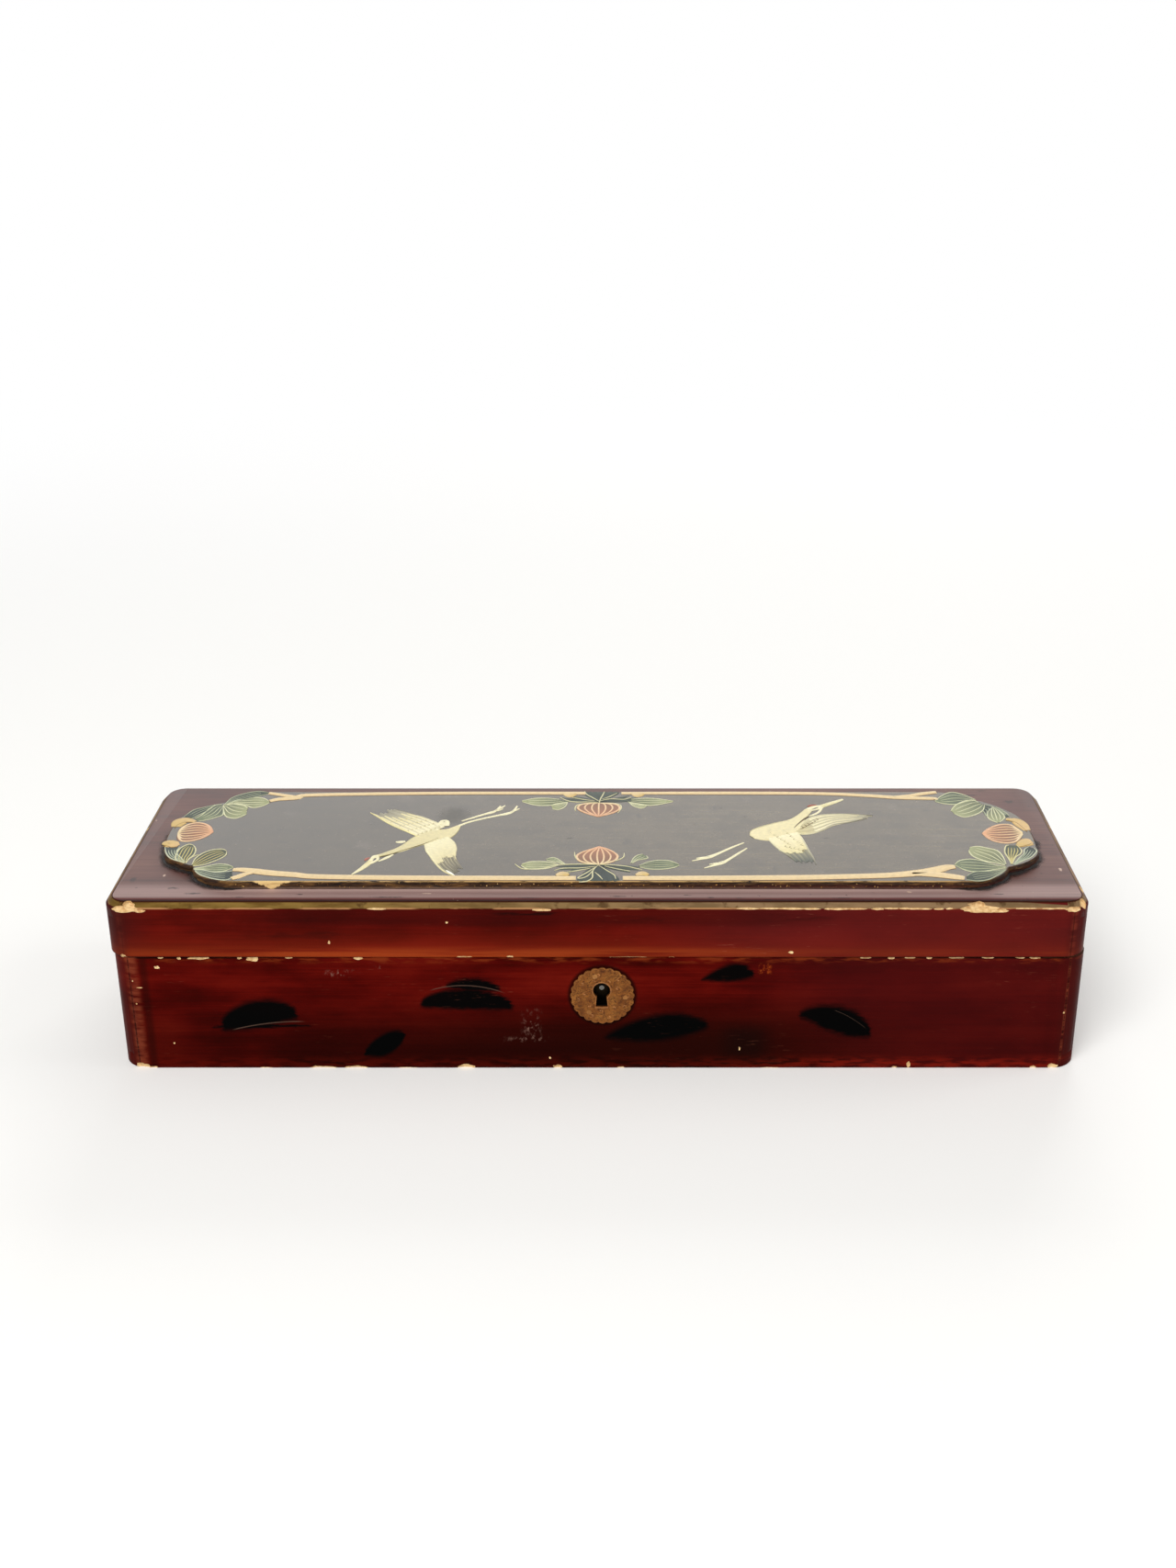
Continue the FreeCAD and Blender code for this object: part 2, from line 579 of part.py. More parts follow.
def lid_link_plate():
    plate = lock_block(
        -LOCK_PLATE_HALF, LOCK_PLATE_HALF, SELVEDGE_FRONT, FRONT_IN, SEAM_Z, SEAM_Z + LOCK_PLATE_T)
    lugs = []
    for right in LUG_RIGHTS:
        lugs.append(lock_block(
            right - LUG_LEG_W, right, LUG_FRONT_Y, LUG_BACK_Y, LUG_FOOT_Z, SEAM_Z + LOCK_PLATE_T / 2))
        lugs.append(lock_block(
            right - LUG_TOE, right, LUG_FRONT_Y, LUG_BACK_Y, LUG_FOOT_Z, LUG_FOOT_Z + LUG_TOE_H))
    return less(joined([plate] + lugs), screw_holes(LINK_SCREW, LINK_SCREWS, UP))


# The whole box, node by node
base_form = base_block()
lid_form = lid_block()

NODES = {
    "bottom_board": bottom_board(base_form),
    "base_left_wall": end_wall(base_form, -1),
    "base_right_wall": end_wall(base_form, 1),
    "base_front_board": base_front_board(base_form),
    "base_back_board": base_back_board(base_form),
    "base_corner_pegs": pegs(BASE_CORNERS, PEG_LENGTH),
    "bottom_board_pegs": pegs(BOTTOM_PLACES, PEG_LENGTH),
    "lid_top_board": lid_top_board(lid_form),
    "lid_left_rail": end_rail(lid_form, -1),
    "lid_right_rail": end_rail(lid_form, 1),
    "lid_front_rail": lid_front_rail(lid_form),
    "lid_back_rail": lid_back_rail(lid_form),
    "lid_corner_pegs": pegs(LID_CORNERS, PEG_LENGTH),
    "lid_top_pegs": pegs(LID_TOP_PLACES, LID_PEG_LENGTH),
    "lid_panel": lid_panel(),
    "left_hinge_base_leaf": base_leaf(-HINGE_X),
    "right_hinge_base_leaf": base_leaf(HINGE_X),
    "left_hinge_lid_leaf": lid_leaf(-HINGE_X),
    "right_hinge_lid_leaf": lid_leaf(HINGE_X),
    "left_hinge_pin": hinge_pin(-HINGE_X),
    "right_hinge_pin": hinge_pin(HINGE_X),
    "base_leaf_screws": screws(HINGE_SCREW, LEAF_SCREWS, -UP),
    "lid_leaf_screws": screws(HINGE_SCREW, LEAF_SCREWS, UP),
    "escutcheon": escutcheon(),
    "escutcheon_pins": escutcheon_pins(),
    "lock_plate": lock_plate(),
    "lock_cap": lock_cap(),
    "lock_cap_rivets": lock_cap_rivets(),
    "lock_bolt": lock_bolt(),
    "bolt_guide_pins": bolt_guide_pins(),
    "lock_spring": lock_spring(),
    "lock_key_pin": lock_key_pin(),
    "lock_screws": screws(LOCK_SCREW, LOCK_SCREWS, -INWARD),
    "lid_link_plate": lid_link_plate(),
    "link_plate_screws": screws(LINK_SCREW, LINK_SCREWS, UP),
}

os.makedirs("parts", exist_ok=True)
for name, shape in NODES.items():
    shape.exportStep("parts/" + name + ".step")
    print(name, len(shape.Solids), "solids,", round(shape.Volume, 2), "mm3, valid", shape.isValid())
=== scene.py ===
import math
import random

import bmesh
import bpy
import numpy as np
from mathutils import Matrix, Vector, noise


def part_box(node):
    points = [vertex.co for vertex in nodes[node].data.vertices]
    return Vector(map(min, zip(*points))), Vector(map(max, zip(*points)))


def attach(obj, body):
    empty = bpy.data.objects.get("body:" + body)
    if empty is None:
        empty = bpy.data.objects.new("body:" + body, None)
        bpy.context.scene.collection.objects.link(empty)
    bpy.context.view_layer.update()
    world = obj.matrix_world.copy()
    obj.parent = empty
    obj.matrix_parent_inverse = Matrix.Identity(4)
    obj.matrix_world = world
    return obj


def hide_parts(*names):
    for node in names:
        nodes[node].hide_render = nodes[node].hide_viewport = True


# The lacquered ink box as packed from the CAD: base, lid and lock bolt. All sizes below are in
# millimetres unless they go straight to Blender, which works in metres.
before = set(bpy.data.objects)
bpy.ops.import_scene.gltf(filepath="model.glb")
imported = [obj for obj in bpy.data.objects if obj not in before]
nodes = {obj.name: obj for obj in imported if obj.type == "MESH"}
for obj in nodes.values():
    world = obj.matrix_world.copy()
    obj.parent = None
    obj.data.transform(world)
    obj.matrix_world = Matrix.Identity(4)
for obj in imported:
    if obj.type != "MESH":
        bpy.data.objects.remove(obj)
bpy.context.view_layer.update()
MM = 0.001


# --- Camera ---
# Placed where the photograph was taken from: low in front of the box, looking slightly down.
CAMERA_PLACE = (0.00704, -0.51152, 0.29951)
CAMERA_TILT = 66.33
CAMERA_LENS = 41.44
CAMERA_SHIFT = (-0.02142, 0.0005)

camera = bpy.data.objects.new("camera", bpy.data.cameras.new("camera"))
bpy.context.scene.collection.objects.link(camera)
camera.location = CAMERA_PLACE
camera.rotation_euler = (math.radians(CAMERA_TILT), 0, 0)
camera.data.lens = CAMERA_LENS
camera.data.shift_x, camera.data.shift_y = CAMERA_SHIFT
camera.data.clip_start = 0.01
bpy.context.scene.camera = camera
bpy.context.scene.view_settings.view_transform = "Standard"


# --- Table and daylight ---
# A pale table top that fades to white away from the box, soft light from the front and above,
# and a bright wall behind, which the polished lid mirrors.
TABLE_TONE = (247, 246, 243)
TABLE_HALF = 6.0
TABLE_PLAIN_TO, TABLE_WHITE_FROM = 0.30, 0.95
SKY_LEVEL = 0.26
# Where each lamp stands, its width and height, its watts, and whether it only shows as a reflection
LAMPS = {
    "front_window": ((-0.55, -1.5, 1.7), 1.6, 1.4, 50.0, False),
    "side_window": ((1.7, 0.1, 1.3), 1.2, 1.2, 8.0, False),
    "back_fill": ((0.3, 1.7, 0.9), 1.2, 0.8, 14.0, False),
    "back_wall": ((0.0, 1.6, 0.80), 3.4, 1.0, 9.7, True),
}


def srgb(red, green, blue):
    """A colour as read off a screen, 0 to 255, as Blender's linear colour."""
    return tuple(c / 12.92 if c <= 0.04045 else ((c + 0.055) / 1.055) ** 2.4
                 for c in (red / 255, green / 255, blue / 255)) + (1.0,)


class Reading:
    """A value on its way through a node tree: sums written on it become Math nodes."""

    def __init__(self, bench, socket):
        self.bench, self.socket = bench, socket

    def with_(self, operation, other, other_first=False):
        pair = (other, self) if other_first else (self, other)
        return self.bench.node("ShaderNodeMath", {"operation": operation}, {0: pair[0], 1: pair[1]})

    def __add__(self, other):
        return self.with_("ADD", other)

    def __sub__(self, other):
        return self.with_("SUBTRACT", other)

    def __mul__(self, other):
        return self.with_("MULTIPLY", other)

    def __truediv__(self, other):
        return self.with_("DIVIDE", other)

    def __pow__(self, other):
        return self.with_("POWER", other)

    def __rsub__(self, other):
        return self.with_("SUBTRACT", other, True)

    def __rtruediv__(self, other):
        return self.with_("DIVIDE", other, True)

    __radd__ = __add__
    __rmul__ = __mul__

    def __abs__(self):
        return self.bench.node("ShaderNodeMath", {"operation": "ABSOLUTE"}, {0: self})

    def least(self, other):
        return self.with_("MINIMUM", other)

    def most(self, other):
        return self.with_("MAXIMUM", other)

    def rise(self, low, high):
        """0 below low, 1 above high, and a smooth step between; the other way round if low > high."""
        return self.bench.node("ShaderNodeMapRange", {"interpolation_type": "SMOOTHSTEP"},
                               {"Value": self, "From Min": low, "From Max": high})


class Bench:
    """A node tree being laid out, for a finish or for Geometry Nodes."""

    def __init__(self, tree):
        self.tree = tree

    def node(self, kind, settings=None, sockets=None, out=0):
        """Adds a node: its settings first, then its sockets' values or links. Gives output out."""
        made = self.tree.nodes.new(kind)
        for name, value in (settings or {}).items():
            if name == "stops":
                ramp = made.color_ramp
                while len(ramp.elements) < len(value):
                    ramp.elements.new(0.5)
                for element, (place, colour) in zip(ramp.elements, value):
                    element.position, element.color = place, colour
            else:
                setattr(made, name, value)
        for name, value in (sockets or {}).items():
            if isinstance(value, Reading):
                self.tree.links.new(value.socket, made.inputs[name])
            else:
                made.inputs[name].default_value = value
        return Reading(self, made.outputs[out])

    def link(self, reading, socket):
        self.tree.links.new(reading.socket, socket)

    def looked_at(self):
        """1 on rays that the camera sees straight, mirrored or through something, 0 on falling light."""
        ray = self.tree.nodes.new("ShaderNodeLightPath")
        straight, mirrored, through = (Reading(self, ray.outputs[kind]) for kind in (
            "Is Camera Ray", "Is Glossy Ray", "Is Transmission Ray"))
        return straight.most(mirrored).most(through)


class Finish(Bench):
    """A material on the bench, with the readings that most finishes start from."""

    def __init__(self, name, **constants):
        self.material = bpy.data.materials.new(name)
        self.material.use_nodes = True
        super().__init__(self.material.node_tree)
        self.shader = self.tree.nodes["Principled BSDF"]
        for socket, value in constants.items():
            self.shader.inputs[socket.replace("_", " ")].default_value = value

    def places(self):
        """Object coordinates in millimetres: the vector, then x, y and z."""
        metres = self.node("ShaderNodeTexCoord", out="Object")
        place = self.node("ShaderNodeVectorMath", {"operation": "SCALE"}, {0: metres, "Scale": 1 / MM})
        return (place,) + self.parts(place)

    def parts(self, vector):
        split = self.node("ShaderNodeSeparateXYZ", sockets={0: vector})
        return tuple(Reading(self, s) for s in split.socket.node.outputs)

    def facing(self):
        return self.parts(self.node("ShaderNodeNewGeometry", out="Normal"))

    def grain(self, place, scale=1.0, detail=3.0, rough=0.55, distortion=0.0):
        return self.node("ShaderNodeTexNoise", sockets={
            "Vector": place, "Scale": scale, "Detail": detail, "Roughness": rough, "Distortion": distortion})

    def streaks(self, place, scales, detail=3.0, rough=0.55, distortion=0.0):
        """Grain that changes at its own pace along x, y and z."""
        drawn = self.node("ShaderNodeVectorMath", {"operation": "MULTIPLY"}, {0: place, 1: scales})
        return self.grain(drawn, 1.0, detail, rough, distortion)

    def ramp(self, value, *stops):
        """Colours, 0 to 255, at their places along the value."""
        return self.node("ShaderNodeValToRGB", {"stops": [(at, srgb(*tone)) for at, tone in stops]}, {0: value})

    def mix(self, amount, first, second):
        """Two colours mixed, each 0 to 255 or worked out by nodes."""
        first, second = (c if isinstance(c, Reading) else srgb(*c) for c in (first, second))
        return self.node("ShaderNodeMix", {"data_type": "RGBA"}, {0: amount, 6: first, 7: second}, out=2)

    def lay(self, amount, colour):
        """Lays a colour over the finish's colour so far."""
        self.colour = self.mix(amount, self.colour, colour)

    def dim(self, colour, amount):
        """The colour darkened to a grey amount of itself."""
        grey = self.node("ShaderNodeCombineXYZ", sockets={0: amount, 1: amount, 2: amount})
        return self.node("ShaderNodeVectorMath", {"operation": "MULTIPLY"}, {0: colour, 1: grey})

    def paint(self, **links):
        for name, reading in links.items():
            self.link(reading, self.shader.inputs[name.replace("_", " ")])

    def bump(self, height, depth):
        """A relief of height 0 to 1 that stands depth millimetres high."""
        self.paint(Normal=self.node("ShaderNodeBump", sockets={
            "Height": height, "Distance": depth * MM, "Strength": 1.0}))


table_mesh = bpy.data.meshes.new("table_top")
table_mesh.from_pydata([(TABLE_HALF * x, TABLE_HALF * y, 0) for x, y in ((-1, -1), (1, -1), (1, 1), (-1, 1))],
                       [], [(0, 1, 2, 3)])
table = bpy.data.objects.new("table_top", table_mesh)
bpy.context.scene.collection.objects.link(table)

pale = Finish("pale_table", Roughness=0.9, Specular_IOR_Level=0.1)
pale.shader.inputs["Base Color"].default_value = srgb(*TABLE_TONE)
spot = pale.node("ShaderNodeTexCoord", out="Object")
away = pale.node("ShaderNodeVectorMath", {"operation": "LENGTH"}, {0: spot}, out="Value")
white = pale.node("ShaderNodeEmission", sockets={"Color": (1, 1, 1, 1), "Strength": 1.0})
near_or_far = pale.node("ShaderNodeMixShader", sockets={
    0: away.rise(TABLE_PLAIN_TO, TABLE_WHITE_FROM) * pale.looked_at(),
    1: Reading(pale, pale.shader.outputs[0]), 2: white})
pale.link(near_or_far, pale.tree.nodes["Material Output"].inputs["Surface"])
table_mesh.materials.append(pale.material)

world = bpy.data.worlds.new("daylight")
bpy.context.scene.world = world
world.use_nodes = True
air = Bench(world.node_tree)
lit = air.tree.nodes["Background"]
lit.inputs["Color"].default_value = (1, 1, 1, 1)
air.link(air.looked_at() * (1 - SKY_LEVEL) + SKY_LEVEL, lit.inputs["Strength"])

for name, (place, width, height, watts, mirrored) in LAMPS.items():
    lamp = bpy.data.objects.new(name, bpy.data.lights.new(name, "AREA"))
    bpy.context.scene.collection.objects.link(lamp)
    lamp.location = place
    lamp.rotation_euler = (Vector((0, 0, 0.03)) - Vector(place)).to_track_quat("-Z", "Y").to_euler()
    lamp.data.shape = "RECTANGLE"
    lamp.data.size, lamp.data.size_y = width, height
    lamp.data.energy = watts
    lamp.visible_camera = False
    lamp.visible_diffuse = not mirrored
    lamp.visible_glossy = mirrored


# --- Base boards ---
# Five thin boards of light wood, glued and pegged, coated with chalk ground and clear red-brown lacquer
# brushed on along the box. Dark leaf shapes drift across it; where the edges are knocked the ground shows.
BASE_X = 0.38
BOX_LENGTH = 290.0
SEAM_Z = 38.4
JOINT_INSET = 5.3
INSIDE_HALF_X, INSIDE_HALF_Y = 139.62, 37.62

GROUND_TONE = (232, 203, 152)


def lumpy(centre, radii, seed, level=3):
    """A rough pebble as (points, faces): what a knock takes out of the lacquer and ground."""
    bm = bmesh.new()
    bmesh.ops.create_icosphere(bm, subdivisions=level, radius=1.0)
    for v in bm.verts:
        out = v.co.normalized()
        swell = 1 + 0.30 * noise.noise(out * 1.7 + Vector((seed * 3.1, 0, 7))) \
            + 0.16 * noise.noise(out * 4.5 + Vector((0, seed * 1.7, 3)))
        v.co = Vector(centre) + Vector(r * s * swell for r, s in zip(radii, out))
    bm.verts.index_update()
    points = [tuple(v.co) for v in bm.verts]
    faces = [tuple(v.index for v in f.verts) for f in bm.faces]
    bm.free()
    return points, faces


def mesh_of(name, parts):
    """One mesh from several (points, faces) in millimetres."""
    points, faces = [], []
    for part_points, part_faces in parts:
        start = len(points)
        points += [(x * MM, y * MM, z * MM) for x, y, z in part_points]
        faces += [tuple(start + i for i in f) for f in part_faces]
    mesh = bpy.data.meshes.new(name)
    mesh.from_pydata(points, [], faces)
    return mesh


def put(name, mesh):
    made = bpy.data.objects.new(name, mesh)
    bpy.context.scene.collection.objects.link(made)
    return made


def settled(piece):
    """The piece with its modifiers worked out into a plain mesh, under its own name."""
    worked = piece.evaluated_get(bpy.context.evaluated_depsgraph_get())
    mesh = bpy.data.meshes.new_from_object(worked)
    piece.modifiers.clear()
    name = piece.data.name
    piece.data = mesh
    mesh.name = name
    return piece


def creased(piece, angle):
    """Smooth shading that breaks at sharp edges and where the material changes, and keeps flat faces flat."""
    piece.data.shade_smooth()
    piece.data.set_sharp_from_angle(angle=math.radians(angle))
    bm = bmesh.new()
    bm.from_mesh(piece.data)
    for e in bm.edges:
        if len({f.material_index for f in e.link_faces}) > 1:
            e.smooth = False
    bm.to_mesh(piece.data)
    bm.free()
    even = piece.modifiers.new("even", "WEIGHTED_NORMAL")
    even.weight, even.keep_sharp = 100, True
    settled(piece)


def knocked(node, body, finish, knocks, seed=1):
    """The CAD board with its knocks cut out, which then stands for the node."""
    low, high = (Vector(corner) / MM for corner in (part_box(node)[0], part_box(node)[1]))
    cutters = put("knocks", mesh_of("knocks", [
        lumpy(centre, radii, k + seed) for k, (centre, radii) in enumerate(knocks)
        if all(a - 1.5 * r < c < b + 1.5 * r for a, b, c, r in zip(low, high, centre, radii))]))
    cutters.data.materials.append(ground.material)
    mesh = nodes[node].data.copy()
    mesh.name = node + "_board"
    bm = bmesh.new()
    bm.from_mesh(mesh)
    bmesh.ops.remove_doubles(bm, verts=bm.verts, dist=1e-6)
    bm.to_mesh(mesh)
    bm.free()
    mesh.materials.clear()
    mesh.materials.append(finish.material)
    for f in mesh.polygons:
        f.material_index = 0
    board = put(node + "_lacquered", mesh)
    cut = board.modifiers.new("knocks", "BOOLEAN")
    cut.operation, cut.solver, cut.use_self = "DIFFERENCE", "EXACT", True
    cut.material_mode = "TRANSFER"
    cut.object = cutters
    settled(board)
    creased(board, 28)
    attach(board, body)
    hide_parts(node)
    bpy.data.objects.remove(cutters)
    return board


# Bare chalk ground in the chips, yellowed and slightly dirty
ground = Finish("chalk_ground", Roughness=0.85, Specular_IOR_Level=0.2)
place = ground.places()[0]
dirt = ground.grain(place, 0.9, 4.0).rise(0.35, 0.75)
ground.paint(Base_Color=ground.mix(dirt, GROUND_TONE, (190, 146, 96)))
ground.bump(ground.grain(place, 2.2, 3.0), 0.05)


def brushed_red(finish, place):
    """Clear red-brown lacquer on the upright faces: the brush's streaks along the box, thin and thick."""
    fine = finish.streaks(place, (0.03, 0.03, 1.9), 5.0, 0.62, 0.3)
    broad = finish.streaks(place, (0.011, 0.011, 0.20), 3.0, 0.5, 0.6)
    cloud = finish.streaks(place, (0.030, 0.030, 0.065), 4.0, 0.55)
    thick = fine * 0.20 + broad * 0.28 + cloud * 0.52
    finish.colour = finish.ramp(
        thick, (0.36, (46, 3, 1)), (0.45, (66, 4, 2)), (0.53, (84, 8, 4)), (0.64, (100, 17, 8)))
    return fine, broad, cloud

def inner_coats(finish, place, fine, cloud, inside, rim):
    """The plain dark lacquer inside, and the thin brown coat on the rims at the seam."""
    finish.lay(inside, finish.mix(finish.grain(place, 0.12, 4.0), (12, 10, 9), (26, 19, 16)))
    finish.lay(rim, finish.mix(fine * 0.6 + cloud * 0.4, (30, 16, 11), (92, 60, 38)))

def most_of(readings):
    """The largest of several readings."""
    top, *rest = readings
    for one in rest:
        top = top.most(one)
    return top


def blot(x, z, left, right, foot_left, foot_right, rise, sag, lean=1.0, round_=0.6, soft=0.35):
    """A drifting leaf: its foot runs between two tips, and it bulges rise above and sag below."""
    along = ((x - left) / (right - left)).least(1.0).most(0.0)
    bow = (along ** lean) * (1 - along ** lean) * 4
    foot = along * (foot_right - foot_left) + foot_left
    above = (bow ** round_) * rise + foot - z
    below = z - (foot - bow * sag)
    return above.least(below).rise(-soft, soft) * along.rise(0.0, 0.06) * along.rise(1.0, 0.94)


# The leaf shapes on the front as the photograph shows them, in millimetres: x of both tips, height of the
# foot at each, rise, sag, lean, roundness and softness
FRONT_BLOTS = [
    (-114.0, -89.6, 12.8, 17.4, 8.9, 0.9, 0.9, 0.5, 1.5),
    (-117.0, -85.4, 14.4, 14.8, 0.9, 0.5, 0.9, 0.6, 0.5),
    (-71.2, -58.0, 4.3, 10.8, 4.6, 3.2, 1.15, 0.45, 1.0),
    (-54.0, -24.6, 21.2, 20.3, 7.0, 0.2, 1.0, 0.5, 1.0),
    (-46.0, -28.6, 28.2, 27.0, 3.8, 1.0, 1.1, 0.6, 1.1),
    (1.0, 34.0, 10.4, 14.6, 6.4, 3.0, 1.2, 0.75, 1.5),
    (30.2, 47.0, 30.5, 32.2, 4.8, 1.4, 1.4, 0.7, 1.1),
    (59.6, 83.0, 18.4, 11.1, 7.4, 2.4, 1.35, 0.5, 1.4),
]
# Leaves on the back and ends, which the photograph doesn't show
BACK_BLOTS = [
    (-96.0, -66.0, 17.0, 15.0, 8.8, 1.0),
    (-22.0, 4.0, 9.0, 11.5, 7.2, 1.6, 1.2),
    (38.0, 60.0, 26.0, 24.0, 6.4, 1.2, 0.9),
    (92.0, 114.0, 12.0, 10.0, 6.8, 2.2, 1.1),
]
END_BLOTS = [
    (-22.0, 0.0, 12.0, 14.0, 7.2, 1.0),
    (10.0, 26.0, 24.0, 22.5, 5.6, 1.4, 1.3),
]

base_red = Finish("base_red_lacquer", Roughness=0.3, Specular_IOR_Level=0.014)
place, x, y, z = base_red.places()
nx, ny, nz = base_red.facing()
fine, broad, cloud = brushed_red(base_red, place)
wander = base_red.streaks(place, (0.16, 0.16, 0.7), 3.0)
low_middle = abs(x - 22.0).rise(90.0, 16.0) * z.rise(30.0, 9.0)
right_end = x.rise(28.0, 84.0)
base_red.lay(right_end * 0.6, (62, 12, 13))
towards_low = z.rise(29.0, 8.0) * (1 - right_end * 0.8) * (x.rise(-108.0, -84.0) * 0.35 + 0.5)
base_red.lay(towards_low, (30, 3, 1))
base_red.lay(low_middle * (cloud * 0.7 + 0.35), (30, 5, 2))
seam_glow = z.rise(35.6, 38.2) * wander.rise(0.44, 0.66)
base_red.lay(seam_glow * 0.6, (132, 54, 22))
# A dark line along the seam: partly the joint, partly painted shade under the lid's overhang, stronger towards
# the ends
base_red.lay(z.rise(37.75, 38.2) * (abs(x).rise(60.0, 120.0) * 0.75 + 0.15), (14, 4, 3))
foot_glow = z.rise(5.6, 1.2) * wander.rise(0.36, 0.60)
base_red.lay(foot_glow * (x.rise(20.0, 90.0) * 0.4 + 0.15), (134, 28, 14))
from_end = (BOX_LENGTH / 2 - JOINT_INSET) - abs(x - BASE_X)
corner = from_end.rise(3.4, -0.6)
base_red.lay(corner * 0.45, (60, 16, 12))
on_left = x.rise(10.0, -10.0)
# Painted shade: a broad dark band just inside the end's joint, strongest on the left end
base_red.lay(abs(from_end - 4.4).rise(2.0, 0.3) * (on_left * 0.5 + 0.1), (34, 5, 3))
joint_glow = abs(from_end - 0.8 * on_left).rise(on_left * 2.0 + 0.6, on_left * 0.5 + 0.1)
joint_glow = joint_glow * wander.rise(0.30, 0.62)
base_red.lay(joint_glow * 0.7, (124, 56, 36))
joint_line = abs(from_end).rise(0.34, 0.10) * fine.rise(0.36, 0.56)
base_red.lay(joint_line * 0.75, (30, 6, 4))

ragged = base_red.streaks(place, (0.30, 0.30, 1.0), 4.0, 0.6) - 0.5
on_front, on_back = ny.rise(-0.6, -0.8), ny.rise(0.6, 0.8)
on_end = abs(nx).rise(0.6, 0.8)
dark = most_of([
    most_of([blot(run + ragged * 3.0, z + ragged * 2.0, *shape) for shape in blots]) * face
    for face, run, blots in ((on_front, x, FRONT_BLOTS), (on_back, x, BACK_BLOTS), (on_end, y, END_BLOTS))])
smudge = abs(x - 44.5).rise(10.5, 2.0) * abs(z - 9.0 + ragged * 3.0).rise(9.0, 2.0) * on_front
base_red.lay(smudge * 0.75, (20, 6, 4))
base_red.lay(dark * 0.99, (2, 3, 3))

# A dark ring lies round the keyhole plate, partly dirt and partly painted shadow, and the keyhole behind it is
# painted black as shade
PLATE_MID, PLATE_R = (1.3, 25.5), 9.6
from_plate = ((x - PLATE_MID[0]) ** 2.0 + (z - PLATE_MID[1]) ** 2.0) ** 0.5
base_red.lay(abs(from_plate - PLATE_R).rise(1.3, 0.2) * on_front * 0.8, (16, 4, 2))
base_red.lay(from_plate.rise(7.5, 7.0) * y.rise(0.0, -20.0), (6, 5, 4))


def vein(x, z, left, right, foot_left, foot_right, rise, width=0.22):
    """A thin pale line where a leaf's dark coat is rubbed through along its rib."""
    along = ((x - left) / (right - left)).least(1.0).most(0.0)
    line = along * (foot_right - foot_left) + foot_left + along * (1 - along) * 4 * rise
    return abs(z - line).rise(width, width * 0.3) * along.rise(0.0, 0.1) * along.rise(1.0, 0.85)


FRONT_VEINS = [
    (-110.6, -87.6, 13.4, 16.4, 0.9, 0.26), (-50.6, -27.2, 27.0, 26.0, 2.3, 0.24),
    (70.5, 81.0, 20.4, 13.6, 0.8, 0.09),
]
ribs = most_of([vein(x, z, *line) for line in FRONT_VEINS])
base_red.lay(ribs * on_front * 0.55, (96, 74, 62))

scratch = base_red.streaks(place, (0.22, 0.22, 3.6), 2.0).rise(0.66, 0.74) * \
    base_red.grain(place, 0.05, 2.0).rise(0.5, 0.7)
base_red.lay(scratch * 0.30, (150, 84, 62))
# Pale rubbed places: middle x and z, half sizes
RUBS = [(-20.0, 15.5, 4.0, 7.0), (-76.5, 32.9, 6.5, 1.8), (-65.0, 34.6, 2.2, 1.4), (-21.5, 10.2, 9.0, 1.3)]
gritty = base_red.streaks(place, (0.9, 0.9, 0.54), 4.0, 0.7)
for mid_x, mid_z, half_x, half_z in RUBS:
    rub = abs(x - mid_x).rise(half_x, 0.5) * abs(z - mid_z).rise(half_z, half_z * 0.15)
    rub = rub * gritty.rise(0.52, 0.70) * on_front
    base_red.lay(rub * 0.6, (140, 104, 92))
orange_rub = abs(x - 49.6).rise(2.4, 1.0) * abs(z - 34.4).rise(2.4, 0.8) * gritty.rise(0.48, 0.60) * on_front
base_red.lay(orange_rub * 0.7, (150, 62, 20))

inside = abs(y).rise(INSIDE_HALF_Y + 0.1, INSIDE_HALF_Y) * \
    abs(x - BASE_X).rise(INSIDE_HALF_X + 0.1, INSIDE_HALF_X) * z.rise(2.0, 3.0)
under = nz.rise(-0.7, -0.9) * z.rise(2.0, 1.0)
base_red.lay(under, base_red.mix(scratch + cloud * 0.5, (20, 13, 10), (58, 40, 30)))
rim = nz.rise(0.7, 0.9) * z.rise(SEAM_Z - 0.6, SEAM_Z - 0.2)
inner_coats(base_red, place, fine, cloud, inside, rim)
base_red.paint(Base_Color=base_red.colour, Roughness=fine * 0.20 + cloud * 0.18 + 0.16)
base_red.bump(fine * 0.6 + broad + dark * 0.2, 0.03)

